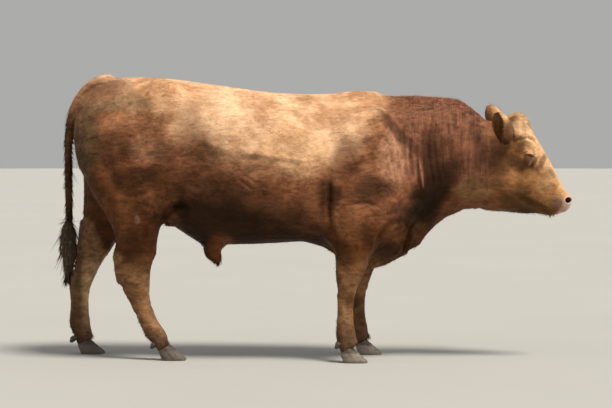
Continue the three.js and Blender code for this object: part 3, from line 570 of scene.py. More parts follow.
def lids(k, angle, rim):
    """Half-closed lids: loops that ride over the eyeball and roll in at a slanting almond slit."""
    a, b, h = rim
    c, s = math.cos(angle), math.sin(angle)
    almond = 1 - abs(c) ** 1.7
    slit = (0.0275 * c + 0.001, (0.0064 if s > 0 else -0.0070) * almond)
    base = 0.4 * h + 0.6 * 0.0035
    if k < LID_RINGS:
        share = 1 - (k + 1) / LID_RINGS
        share = share ** 1.25
        x, y = slit[0] + (a - slit[0]) * share, slit[1] + (b - slit[1]) * share
        r = math.hypot(x, y)
        ball = math.sqrt(max(BALL ** 2 - r * r, 0.0)) if r < BALL else 0.0
        rest = base + (h - base) * share ** 0.8
        out = math.log(math.exp(450 * rest) + math.exp(450 * ball)) / 450 if ball > 0 else rest
        if s > 0:
            out -= 0.0034 * math.exp(-((share - 0.30) / 0.06) ** 2) * s ** 0.5
            out += 0.0026 * math.exp(-((share - 0.52) / 0.13) ** 2) * s ** 0.5
            out += 0.0012 * math.exp(-((share - 0.03) / 0.05) ** 2)
        else:
            out -= 0.0018 * math.exp(-((share - 0.26) / 0.06) ** 2) * (-s) ** 0.5
            out += 0.0018 * math.exp(-((share - 0.04) / 0.06) ** 2)
        return x, y, out
    x, y = slit
    r = math.hypot(x, y)
    ball = math.sqrt(max(BALL ** 2 - r * r, 0.0)) if r < BALL else 0.0
    top = math.log(math.exp(450 * base) + math.exp(450 * ball)) / 450
    fall, close = [(0.0012, 0.97), (0.0036, 0.95), (0.008, 0.86), (0.014, 0.6)][k - LID_RINGS]
    return x * close, y * close, top - fall


def nostril(k, angle, rim):
    """A nostril: a swollen wing round a hollow that narrows as it runs in."""
    a, b, h = rim
    c, s = math.cos(angle), math.sin(angle)
    wide = 0.0190 + 0.002 * max(0.0, math.cos(angle - 2.3)) ** 3
    mouth = (wide * c, (0.0162 if s > 0 else 0.0140) * s)
    if k < 8:
        share = 1 - (k + 1) / 8
        wing = 0.0036 * math.exp(-((share - 0.16) / 0.16) ** 2) * (1 + 0.5 * s)
        return mouth[0] + (a - mouth[0]) * share, mouth[1] + (b - mouth[1]) * share, h * share + wing
    fall, close = [(0.003, 0.93), (0.009, 0.84), (0.016, 0.74), (0.024, 0.62), (0.031, 0.45)][k - 8]
    return mouth[0] * close - fall * 0.2, mouth[1] * close, -fall


for side in (-1, 1):
    eye = on_head(130, 109, 112 * side) / 1000
    looped(skin, eye, (0.22, side, 0.02), (1, 0, -0.19), 0.041, -0.035, lids, LID_RINGS + 4)
    hole = on_head(408, 4, 66 * side) / 1000
    looped(skin, hole, (0.55, side, 0.10), (1, 0, 0.1), 0.027, -0.035, nostril, 13)
alone(skin)
bpy.ops.object.shade_smooth()

# The hide's finish: red-brown short hair, tan along the back that is partly painted sunlight, dark on neck and
# belly (the belly partly painted shade), fawn on the face with a painted sunlit front, dusty over hips and
# shins, and painted shade in hollows and folds. The long hair takes the same finish, so the markings run on.


def curve(finish, value, low, high, stops):
    """A height or share that changes along the body, read off a curve."""
    greys = [((place - low) / (high - low), (share, share, share)) for place, share in stops]
    ramp = finish.node("ShaderNodeValToRGB", {"stops": greys}, (value - low) / (high - low))
    ramp.socket.node.color_ramp.interpolation = "B_SPLINE"
    return ramp


def spot(finish, a, b, centre, size, inner=0.0, outer=1.5):
    """1 in the middle of an oval, fading to 0 past its edge."""
    far = ((a - centre[0]) / size[0]) ** 2 + ((b - centre[1]) / size[1]) ** 2
    return 1 - finish.step(far, inner, outer)


def broken_by_mottle(finish, mask, noise):
    """A soft mask broken up by mottling."""
    return mask * finish.step(noise + mask * 0.45, 0.32, 0.78)


coat = Finish("short_coat", Roughness=0.55, Specular_IOR_Level=0.16, Specular_Tint=(1.0, 0.74, 0.46, 1),
              Sheen_Weight=0.03, Sheen_Roughness=0.5, Sheen_Tint=(1.0, 0.6, 0.36, 1))
x, y, z = coat.axes()
drift = coat.noise(2.6, coat.place(shift=(3.1, 0.7, 1.9)), detail=3.0)
lift = coat.noise(2.6, coat.place(shift=(-2.3, 1.2, 4.4)), detail=3.0)
broad_mottle = coat.noise(3.1, detail=4.0, rough=0.55)
mottle = coat.noise(9.0, detail=4.0, rough=0.6, twist=0.4)
fleck = coat.noise(1.0, coat.place(scale=(38, 60, 60)), detail=3.0, rough=0.65)
hair_back = coat.noise(1.0, coat.place(turn=(0, 0.12, 0), scale=(60, 340, 340)), detail=2.0)
hair_down = coat.noise(1.0, coat.place(turn=(0, 0.1, 0), scale=(340, 340, 60)), detail=2.0)
folds = coat.noise(1.0, coat.place(turn=(0, 0.10, 0), scale=(150, 12, 7)), detail=2.0, rough=0.45, twist=0.25)
wander = (broad_mottle - 0.5) * 0.16 + (mottle - 0.5) * 0.06
height = z + wander
on_neck = coat.step(x + wander * 1.2, 0.31, 0.48) * (1 - coat.step(x, 0.82, 1.0)) * coat.step(z, 0.80, 0.98)
face_share = coat.step(x + (z - 0.9) * 0.15, 0.84, 1.02)
quarter = 1 - coat.step(x, -0.78, -0.62)
fore_end = coat.step(x, 0.02, 0.12) * (1 - coat.step(x, 0.46, 0.60))
limb = quarter + fore_end

# Ground colours for each stretch of the body, from the rump to the breast, with painted shade low on the
# quarter, under the belly and at the breast
colour = coat.blend(mottle * 0.6 + broad_mottle * 0.4, (0.135, 0.046, 0.019), (0.31, 0.120, 0.056))
# Low on the quarter the colour darkens downward: painted shade over a darker coat.
colour = coat.blend(quarter * (1 - coat.step(height, 0.86, 1.20)) * 0.9, colour,
                    coat.blend(mottle, (0.032, 0.0092, 0.0024), (0.080, 0.025, 0.0072)))
# Tan along the back: partly the coat's own tan, partly painted sunlight on the top of the body.
sunlit_tan_edge = curve(coat, x, -1.3, 0.7, [
    (-1.3, 0.86), (-1.0, 0.84), (-0.74, 0.80), (-0.50, 0.665), (-0.2, 0.625), (0.12, 0.64), (0.34, 0.78),
    (0.5, 0.99),
]) * 1.5
sunlit_tan = coat.step(height - sunlit_tan_edge, -0.11, 0.15) * (1 - coat.step(x + wander - (z - 1.3) * 0.5, 0.30, 0.52))
cloud = coat.step(mottle * 0.35 + broad_mottle * 0.65, 0.38, 0.62)
colour = coat.blend(sunlit_tan, colour, coat.blend(cloud, (0.455, 0.234, 0.115), (0.71, 0.440, 0.262)))
# Painted shade under the belly, over a darker belly coat: near black low on the trunk.
under_edge = curve(coat, x, -1.3, 0.7, [
    (-1.3, 0.90), (-0.6, 0.90), (-0.42, 0.86), (-0.24, 0.79), (-0.05, 0.71), (0.1, 0.66), (0.5, 0.66),
])
under = (1 - coat.step(height - under_edge, -0.12, 0.13)) * (1 - quarter) * (1 - coat.step(x, 0.06, 0.42))
colour = coat.blend(under * 0.96, colour, (0.010, 0.0034, 0.0011))
colour = coat.blend(on_neck, colour, coat.blend(mottle, (0.135, 0.046, 0.023), (0.29, 0.120, 0.070)))
# Lighter along the top of the crest: painted light from above.
crest = coat.step(z + x * 0.16, 1.36, 1.44) * coat.step(x, 0.3, 0.5) * (1 - face_share)
colour = coat.blend(crest * 0.7, colour, (0.36, 0.140, 0.078))
lower_arm = fore_end * (1 - coat.step(height, 0.56, 0.82))
arm_brown = coat.blend(mottle, (0.042, 0.0110, 0.0017), (0.105, 0.030, 0.0062))
colour = coat.blend(lower_arm * 0.85, colour, arm_brown)
# Painted shade at the breast under the neck.
breast = (1 - coat.step(height, 0.60, 0.90)) * coat.step(x, 0.34, 0.44) * (1 - face_share)
colour = coat.blend(breast * 0.9, colour, (0.050, 0.0155, 0.0045))
gaskin_dark = quarter * (1 - coat.step(height, 0.50, 0.76))
colour = coat.blend(gaskin_dark * 0.8, colour, (0.052, 0.0155, 0.004))

# Patches: where the coat is rubbed or dusty, with painted light on the rise of muscles and painted shade deep
# in hollows and folds.
# Each has its place along and up, its half width and half height, its lean, colour and share.
for centre, size, lean, tint, share in [
    # Painted shade in the flank hollow before the thigh.
    ((-0.55, 1.04), (0.100, 0.21), 0.37, (0.085, 0.030, 0.013), 0.65),
    ((-0.36, 0.94), (0.22, 0.075), 0.0, (0.16, 0.060, 0.026), 0.50),
    ((-0.45, 0.860), (0.280, 0.060), 0.25, (0.028, 0.0100, 0.0040), 0.65),
    # Painted shade in the flank fold.
    ((-0.660, 0.755), (0.036, 0.060), 0.2, (0.0060, 0.0022, 0.0008), 0.95),
    ((-1.03, 1.345), (0.12, 0.060), 0.0, (0.155, 0.070, 0.038), 0.80),
    # Painted shadow of the tail on the buttock.
    ((-1.13, 1.12), (0.080, 0.19), 0.0, (0.060, 0.038, 0.018), 0.85),
    ((-0.95, 1.265), (0.15, 0.042), -1.0, (0.19, 0.128, 0.070), 0.70),
    ((-0.93, 1.16), (0.10, 0.060), 0.0, (0.25, 0.110, 0.052), 0.45),
    ((-0.98, 1.06), (0.120, 0.075), 0.2, (0.055, 0.021, 0.0095), 0.70),
    ((-0.78, 1.035), (0.11, 0.065), 0.3, (0.30, 0.160, 0.088), 0.40),
    ((-0.86, 0.900), (0.13, 0.050), 0.0, (0.030, 0.0098, 0.0030), 0.75),
    ((-0.80, 0.790), (0.050, 0.060), 0.2, (0.17, 0.062, 0.026), 0.60),
    ((-0.93, 0.75), (0.045, 0.13), -0.15, (0.15, 0.056, 0.020), 0.55),
    ((-0.75, 0.70), (0.030, 0.12), 0.2, (0.030, 0.010, 0.0035), 0.70),
    ((-0.980, 0.51), (0.050, 0.030), 0.0, (0.34, 0.180, 0.085), 0.65),
    ((-0.93, 0.42), (0.050, 0.060), 0.0, (0.060, 0.024, 0.008), 0.50),
    ((-1.17, 0.56), (0.060, 0.16), 0.3, (0.30, 0.165, 0.080), 0.60),
    # Painted shade in the hollow behind the withers.
    ((0.10, 1.22), (0.080, 0.100), 0.0, (0.27, 0.115, 0.052), 0.40),
    # Pale tan over the ribs: painted sunlight.
    ((-0.08, 1.03), (0.16, 0.10), 0.0, (0.66, 0.385, 0.200), 0.50),
    ((0.16, 0.99), (0.075, 0.11), 0.0, (0.115, 0.040, 0.018), 0.70),
    ((0.40, 1.01), (0.075, 0.13), 0.0, (0.46, 0.235, 0.135), 0.65),
    ((0.27, 0.93), (0.050, 0.060), 0.0, (0.30, 0.135, 0.070), 0.40),
    # Painted shade in the groove in front of the shoulder blade.
    ((0.42, 1.14), (0.034, 0.110), 0.8, (0.042, 0.0145, 0.0085), 0.85),
    # These three: painted shade along the shoulder's front edge and at the base of the neck.
    ((0.575, 1.02), (0.060, 0.130), 0.0, (0.024, 0.0080, 0.0040), 0.90),
    ((0.575, 0.81), (0.088, 0.190), -0.42, (0.0090, 0.0032, 0.0011), 1.0),
    ((0.660, 0.93), (0.075, 0.110), -0.5, (0.020, 0.0072, 0.0034), 0.75),
    ((0.815, 1.07), (0.040, 0.110), 0.1, (0.032, 0.0115, 0.0058), 0.70),
    ((0.275, 0.850), (0.130, 0.070), -0.1, (0.020, 0.0070, 0.0028), 0.85),
    ((0.070, 0.835), (0.052, 0.085), 0.0, (0.018, 0.006, 0.0024), 0.85),
    ((0.180, 0.70), (0.070, 0.11), 0.0, (0.20, 0.078, 0.033), 0.65),
    ((0.80, 0.860), (0.11, 0.060), -0.3, (0.17, 0.095, 0.037), 0.75),
    ((0.405, 0.635), (0.050, 0.060), 0.0, (0.20, 0.070, 0.024), 0.60),
    ((0.355, 0.565), (0.060, 0.045), 0.0, (0.015, 0.005, 0.002), 0.80),
    ((0.290, 0.485), (0.070, 0.022), 0.0, (0.115, 0.036, 0.012), 0.60),
    ((-0.445, 0.540), (0.075, 0.075), 0.0, (0.19, 0.064, 0.019), 0.90),
]:
    patch_x = x + (z - centre[1]) * lean + (drift - 0.5) * 0.16
    patch = spot(coat, patch_x, z + (lift - 0.5) * 0.16, centre, size, 0.0, 1.9)
    patch = patch * coat.step(mottle + patch * 0.6, 0.30, 0.80)
    colour = coat.blend(patch * share, colour, tint)
# A painted highlight on the ridge beside the neck's crease.
ridge = spot(coat, x + (z - 0.93) * 0.15, z, (0.536, 0.93), (0.009, 0.075), 0.0, 1.2)
colour = coat.blend(ridge * 0.7, colour, (0.42, 0.18, 0.10))
wart = spot(coat, x, z, (-0.862, 0.705), (0.016, 0.022), 0.2)
wart = wart * coat.step(mottle * 0.5 + fleck * 0.5, 0.40, 0.60) * (1 - coat.step(y, -0.1, 0.0))
colour = coat.blend(wart * 0.45, colour, (0.20, 0.125, 0.085))
shin = (1 - coat.step(height, 0.34, 0.56)) * limb
colour = coat.blend(shin * 0.88, colour, coat.blend(mottle, (0.10, 0.040, 0.013), (0.34, 0.180, 0.085)))
colour = coat.blend(shin * fore_end * 0.25, colour, (0.075, 0.026, 0.008))
grime = coat.step(coat.noise(15.0, detail=4.0, rough=0.7), 0.52, 0.66)
colour = coat.blend(shin * grime * 0.6 * (1 - coat.step(z, 0.20, 0.50)), colour, (0.075, 0.043, 0.025))
# The far hind leg is painted lighter low down, as if lit from the near side: painted light.
far_hock_painted_light = (1 - coat.step(x, -1.06, -1.00)) * coat.step(y, 0.0, 0.1) * (1 - coat.step(z, 0.36, 0.56))
colour = coat.blend(far_hock_painted_light * coat.step(z, 0.12, 0.22) * 0.8, colour, (0.62, 0.39, 0.20))
colour = coat.blend((1 - coat.step(z, 0.08, 0.20)) * 0.65, colour, (0.075, 0.046, 0.030))
on_tail = (1 - coat.step(x, -1.215, -1.165)) * (1 - coat.step(z, 1.15, 1.32))
colour = coat.blend(on_tail * 0.9, colour, coat.blend(mottle, (0.030, 0.0145, 0.0060), (0.090, 0.045, 0.019)))

# The face, by how far along the nose line and how far above it
fawn = coat.blend(mottle * 0.5 + fleck * 0.5, (0.17, 0.068, 0.022), (0.36, 0.165, 0.062))
along_face = (x - SKULL.x / 1000) * math.cos(DIP) - (z - SKULL.z / 1000) * math.sin(DIP)
above_face = (x - SKULL.x / 1000) * math.sin(DIP) + (z - SKULL.z / 1000) * math.cos(DIP)
colour = coat.blend(face_share, colour, fawn)
# The front of the face is painted lighter, as sunlit from above: painted sunlight.
painted_sunlit_front = coat.step(above_face + along_face * 0.40 + (mottle - 0.5) * 0.07, 0.13, 0.22) * face_share
colour = coat.blend(painted_sunlit_front * 0.9, colour, (0.70, 0.42, 0.215))
# Painted shade under the jaw.
jaw_shade = (1 - coat.step(above_face + (mottle - 0.5) * 0.06 + along_face * 0.05, -0.15, -0.02)) * face_share
colour = coat.blend(jaw_shade * 0.9, colour, (0.019, 0.0072, 0.0016))
face_sides = coat.step(y * y, 0.0011, 0.0038)
for centre, size, tint, share in [
    # Painted shade under the brow, above the eye.
    ((0.050, 0.150), (0.080, 0.026), (0.090, 0.038, 0.018), 0.75),
    # Painted shadow in front of the eye, along the edge of the nose bone.
    ((0.202, 0.110), (0.018, 0.070), (0.080, 0.034, 0.015), 0.65),
    ((0.125, 0.045), (0.100, 0.042), (0.060, 0.024, 0.0090), 0.85),
    ((0.020, 0.030), (0.070, 0.110), (0.055, 0.023, 0.0090), 0.70),
    ((0.120, 0.128), (0.040, 0.018), (0.52, 0.25, 0.13), 0.70),
    ((0.075, 0.112), (0.026, 0.036), (0.070, 0.028, 0.012), 0.60),
    ((0.168, 0.092), (0.012, 0.034), (0.055, 0.022, 0.010), 0.65),
    ((0.152, 0.080), (0.007, 0.020), (0.50, 0.37, 0.27), 0.45),
    ((0.185, 0.030), (0.050, 0.030), (0.44, 0.21, 0.085), 0.60),
    ((0.182, -0.055), (0.050, 0.036), (0.060, 0.025, 0.008), 0.60),
    ((0.265, 0.015), (0.050, 0.050), (0.46, 0.25, 0.115), 0.70),
    ((0.300, 0.088), (0.060, 0.020), (0.135, 0.098, 0.068), 0.85),
    ((0.360, -0.035), (0.034, 0.028), (0.135, 0.095, 0.070), 0.75),
    ((-0.020, 0.205), (0.035, 0.060), (0.11, 0.046, 0.022), 0.85),
    ((0.040, 0.215), (0.060, 0.035), (0.72, 0.45, 0.25), 0.75),
    ((0.27, -0.090), (0.14, 0.022), (0.035, 0.014, 0.004), 0.85),
]:
    patch = broken_by_mottle(coat, spot(coat, along_face, above_face, centre, size), mottle) * face_sides
    colour = coat.blend(patch * share, colour, tint)
bare = coat.step(along_face + (mottle - 0.5) * 0.04 - above_face * 0.1, 0.385, 0.412)
bare = bare * (1 - coat.step(above_face, 0.040, 0.062))
pebble = coat.node("ShaderNodeTexVoronoi", {"feature": "DISTANCE_TO_EDGE"}, Vector=coat.place(), Scale=260.0)
colour = coat.blend(bare * 0.9, colour, coat.blend(mottle, (0.36, 0.205, 0.15), (0.60, 0.41, 0.325)))
wing = spot(coat, along_face, above_face, (0.414, -0.002), (0.032, 0.028), 0.1, 1.4)
wing = wing * coat.step(y * y, 0.0012, 0.0026)
colour = coat.blend(wing * coat.step(mottle, 0.30, 0.60) * 0.8, colour, (0.76, 0.55, 0.46))

# Clumps of hair catch the light in streaks: slanting on the body, upright on the neck, finer on the face
slant = coat.noise(1.0, coat.place(turn=(0, 0.40, 0), scale=(11, 30, 30)), detail=3.0, rough=0.65, twist=0.5)
upright = coat.noise(1.0, coat.place(turn=(0, -0.08, 0), scale=(46, 40, 9)), detail=3.0, rough=0.6, twist=0.3)
lock_light = slant * (1 - on_neck) + upright * on_neck
streaks = coat.step(lock_light * 0.40 + fleck * 0.22 + mottle * 0.38, 0.36, 0.64)
shade = coat.blend(streaks, (0.44, 0.41, 0.38), (1.50, 1.54, 1.58))
shaded = coat.blend(1.0, colour, shade, how="MULTIPLY")
colour = coat.blend(0.85 - sunlit_tan * 0.45 - face_share * 0.50, colour, shaded)

# Hair: fine creases down the neck, strands that lie back along the body and down the legs
crease = coat.step(folds, 0.36, 0.60)
creased = on_neck * coat.step(broad_mottle * 0.6 + mottle * 0.4, 0.34, 0.60)
# The neck's creases are darker in their folds: painted shade.
colour = coat.blend(creased * (1 - crease) * 0.38, colour, (0.030, 0.010, 0.006))
lower = 1 - coat.step(z, 0.62, 0.84)
downward = lower + face_share - lower * face_share
hair = hair_down * downward + hair_back * (1 - downward)
strand = coat.step(hair * 0.65 + fleck * 0.35, 0.30, 0.70)
colour = coat.blend((1 - strand) * 0.20, colour, (0.02, 0.008, 0.004))
# Lighter towards the lock tips and on the ears' rims: painted light.
tip = coat.node("ShaderNodeAttribute", {"attribute_name": "lock_tip"}, out=2)
colour = coat.blend(tip * 0.25, colour, coat.blend(1.0, colour, (1.3, 1.25, 1.18), how="MULTIPLY"))
# Darker in the ears' hollows: painted shade over darker hair.
pit = coat.node("ShaderNodeAttribute", {"attribute_name": "lock_pit"}, out=2)
colour = coat.blend(pit * 0.6, colour, (0.010, 0.004, 0.002))
furred = coat.bump(hair * (1 - bare) + fleck * 0.5, 0.30, 0.0014)
furred = coat.bump(folds * creased, 0.5, 0.0035, furred)
furred = coat.bump(streaks * (1 - bare), 0.5, 0.0040, furred)
furred = coat.bump(pebble * bare, 0.6, 0.0010, furred)
coat.feed(Base_Color=colour, Roughness=0.60 - bare * 0.22, Normal=furred)

rim_skin = Finish("lid_rim", Roughness=0.32, Specular_IOR_Level=0.5)
wet = rim_skin.noise(150.0, detail=2.0)
rim_skin.feed(Base_Color=rim_skin.blend(wet, (0.045, 0.018, 0.013), (0.13, 0.050, 0.036)),
              Normal=rim_skin.bump(wet, 0.2, 0.0006))
dark_hollow = Finish("nostril_lining", Roughness=0.45)
damp = dark_hollow.noise(120.0, detail=2.0)
dark_hollow.feed(Base_Color=dark_hollow.blend(damp, (0.030, 0.013, 0.011), (0.075, 0.034, 0.028)),
                 Normal=dark_hollow.bump(damp, 0.3, 0.0008))
for finish in (coat, rim_skin, dark_hollow):
    skin.data.materials.append(finish.material)
opening = skin.data.attributes["opening"].data
for face in skin.data.polygons:
    k = opening[face.index].value
    eye_side = abs(face.center.z - 1.02) < 0.08
    face.material_index = 1 if k > LID_RINGS and eye_side else 2 if k > 9 and not eye_side else 0
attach(skin, "root")
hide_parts(*FLESH)

# --- The eyes --------------------------------------------------------------------------------
# Blown glass eyes with a clear bulged front: a dark brown iris and a long level pupil, set deep
# under the lids.
GLASS = 0.0198
for side, name in ((-1, "right"), (1, "left")):
    centre = on_head(130, 109, 112 * side) / 1000
    look = Vector((0.22, side, 0.02)).normalized()
    bpy.ops.mesh.primitive_uv_sphere_add(segments=48, ring_count=32, radius=GLASS, location=(0, 0, 0))
    eye = bpy.context.active_object
    eye.name = "glass_eye_" + name
    for vertex in eye.data.vertices:
        bulge = max(0.0, (vertex.co.normalized().z - 0.80) / 0.20)
        vertex.co *= 1 + 0.05 * bulge * (2 - bulge)
    level = Vector((1, 0, -0.19))
    level = (level - look * level.dot(look)).normalized()
    turn = Vector(np.cross(look, level))
    spots = points_of(eye.data)
    put_points(eye.data, spots @ np.array([level, turn, look]) + np.array(centre))
    iris_way = eye.data.attributes.new("iris_way", "FLOAT_VECTOR", "POINT")
    iris_way.data.foreach_set("vector", spots.astype(np.float32).ravel())
    alone(eye)
    bpy.ops.object.mode_set(mode="EDIT")
    bpy.ops.mesh.select_all(action="SELECT")
    bpy.ops.mesh.normals_make_consistent(inside=False)
    bpy.ops.object.mode_set(mode="OBJECT")
    bpy.ops.object.shade_smooth()
    glass = Finish("eye_glass_" + name, Roughness=0.08, Specular_IOR_Level=0.25, Coat_Weight=0.5,
                   Coat_Roughness=0.03)
    here = glass.node("ShaderNodeAttribute", {"attribute_name": "iris_way"}, out=1)
    a, b = [glass.node("ShaderNodeSeparateXYZ", {}, here, out=i) for i in range(2)]
    ring = (a * a + b * b) ** 0.5
    streak = glass.noise(900.0, here, detail=2.0)
    iris = glass.blend(streak, (0.010, 0.0045, 0.0025), (0.040, 0.017, 0.008))
    iris = glass.blend(spot(glass, a, b, (0, 0), (0.0085, 0.0042), 0.7), iris, (0.002, 0.002, 0.004))
    white = glass.blend(streak, (0.10, 0.060, 0.045), (0.20, 0.135, 0.105))
    eye_colour = glass.blend(glass.step(ring, 0.0128, 0.0146), iris, white)
    glass.feed(Base_Color=eye_colour, Roughness=0.06 + streak * 0.05)
    eye.data.materials.append(glass.material)
    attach(eye, "root")
    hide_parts("eye_" + name)

# --- The ears --------------------------------------------------------------------------------
# Thin leaves of gristle under short hair, cupped, with a thick soft rim and long pale hair in the
# hollow. The foot of each is buried in the hide behind the poll.
leaf_way, leaf_hollow = {}, {}
for name, way, hollow in (
    ("right", (-0.2, -0.6, 1), (-0.85, -1, 0)),
    ("left", (-1.2, 0.7, 1.6), (1, 0.5, -0.1)),
):
    ear = cast_of(["ear_" + name], "ear_leaf_" + name)
    for _ in range(2):
        round_off = ear.modifiers.new("round", "SUBSURF")
        round_off.levels = round_off.render_levels = 1
        bpy.ops.object.modifier_apply(modifier=round_off.name)
    way = np.array(Vector(way).normalized())
    hollow = np.array(hollow) - way * np.dot(hollow, way)
    hollow /= np.linalg.norm(hollow)
    leaf_way[name], leaf_hollow[name] = way, hollow
    spots, normals = points_of(ear.data), normals_of(ear.data)
    inward = ease(normals @ hollow, -0.1, 0.5)
    reach = (spots - spots.mean(0)) @ way
    reach = (reach - reach.min()) / np.ptp(reach)
    across = np.cross(way, hollow)
    gap = np.abs((spots - spots.mean(0)) @ across)
    rim = ease(gap / (gap.max() * (1 - 0.6 * reach ** 2)), 0.55, 0.95)
    put_points(ear.data, spots + normals * (0.0008 + 0.0022 * rim)[:, None])
    # The hollow of each ear is painted dark: painted shade over darker hair.
    deep = ear.data.attributes.new("lock_pit", "FLOAT", "POINT")
    darkness = (inward * (1.6 - 0.9 * reach) * (1 - 0.8 * rim)).clip(0, 1.7)
    deep.data.foreach_set("value", darkness.astype(np.float32))
    # The rims are painted lighter, as lit through by the sun: painted light.
    lit_rim = ear.data.attributes.new("lock_tip", "FLOAT", "POINT")
    lit_rim.data.foreach_set("value", (2.0 * rim).astype(np.float32))
    bpy.ops.object.shade_smooth()
    ear.data.materials.append(coat.material)
    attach(ear, "root")
    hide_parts("ear_" + name)

# --- The feet --------------------------------------------------------------------------------
# Two claws of grey horn on each foot, with growth rings, and two dewclaws behind. The hair of the
# coronet hangs over their top edge.
horn = Finish("hoof_horn", Roughness=0.55, Specular_IOR_Level=0.4)
x, y, z = horn.axes()
band = horn.noise(1.0, horn.place(turn=(0, 0.55, 0), scale=(16, 16, 210)), detail=2.0, rough=0.6)
grain = horn.noise(1.0, horn.place(scale=(230, 230, 40)), detail=3.0)
soil = horn.noise(26.0, detail=4.0, rough=0.7)
shell = horn.blend(band * 0.6 + grain * 0.4, (0.110, 0.086, 0.068), (0.29, 0.245, 0.20))
shell = horn.blend(horn.step(soil, 0.46, 0.66) * 0.7, shell, (0.060, 0.040, 0.028))
shell = horn.blend(horn.step(z, 0.040, 0.056) * 0.85, shell, (0.040, 0.025, 0.017))
shell = horn.blend((1 - horn.step(x, -0.6, -0.3)) * 0.65, shell, (0.060, 0.044, 0.036))
shell = horn.blend((1 - horn.step(z, 0.004, 0.02)) * 0.6, shell, (0.10, 0.075, 0.055))
horn.feed(Base_Color=shell, Roughness=0.45 + soil * 0.35,
          Normal=horn.bump(grain, 0.3, 0.0010, horn.bump(band, 0.4, 0.0016)))
for end in ("fore", "hind"):
    for side in ("right", "left"):
        claws = [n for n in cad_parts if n.startswith((f"{end}_claw_{side}", f"{end}_dewclaw_{side}"))]
        hooves = cast_of(claws, f"{end}_hooves_{side}")
        remeshed(hooves, 0.0034)
        spots = points_of(hooves.data)
        grip = ease(spots[:, 2], 0.004, 0.016)
        spots = relaxed(spots, edges_of(hooves.data), 14, share=0.25 + 0.75 * grip)
        ring = np.sin((spots[:, 2] + spots[:, 0] * 0.25) * 2 * np.pi / 0.011) + 0.5 * np.sin(
            (spots[:, 2] + spots[:, 0] * 0.25) * 2 * np.pi / 0.0047 + 1.3)
        put_points(hooves.data, spots)
        spots += normals_of(hooves.data) * (0.0005 * ring * ease(spots[:, 2], 0.008, 0.02))[:, None]
        spots[:, 2] = np.maximum(spots[:, 2], 0.0)
        put_points(hooves.data, spots)
        bpy.ops.object.shade_smooth()
        hooves.data.materials.append(horn.material)
        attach(hooves, "root")
        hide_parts(*claws)

# --- The coat's hair -------------------------------------------------------------------------
# Short locks all over, lying back along the body and down the legs, so the outline is soft; longer
# ones on crest, poll, brisket, belly line, buttocks and fetlocks. Each lock is a thin flat spike.


def lie_of(spots):
    """The way the hair lies: back along the body, down the limbs, out from a whorl on the face."""
    x, _, z = spots.T
    way = np.stack([-np.ones_like(x), np.zeros_like(x), -0.28 * np.ones_like(x)], 1)
    limb = 1 - ease(z, 0.55, 0.80)
    under = limb * ease(x, -0.72, -0.60) * (1 - ease(x, 0.02, 0.12))
    limb = limb - under
    way += limb[:, None] * np.array([0.75, 0, -1.2])
    neck = ease(x, 0.35, 0.55) * (1 - ease(x, 0.85, 0.95))
    way += neck[:, None] * np.array([0.25, 0, -0.65])
    rear = 1 - ease(x, -1.16, -1.02)
    way += rear[:, None] * np.array([0.6, 0, -1.4])
    face = ease(x, 0.90, 1.02)
    whorl = np.array(on_head(95, 190)) / 1000
    out = spots - whorl
    out /= np.linalg.norm(out, axis=1, keepdims=True) + 1e-6
    out += np.array([-0.35, 0, -0.15])
    way = way * (1 - face)[:, None] + out * face[:, None]
    return way


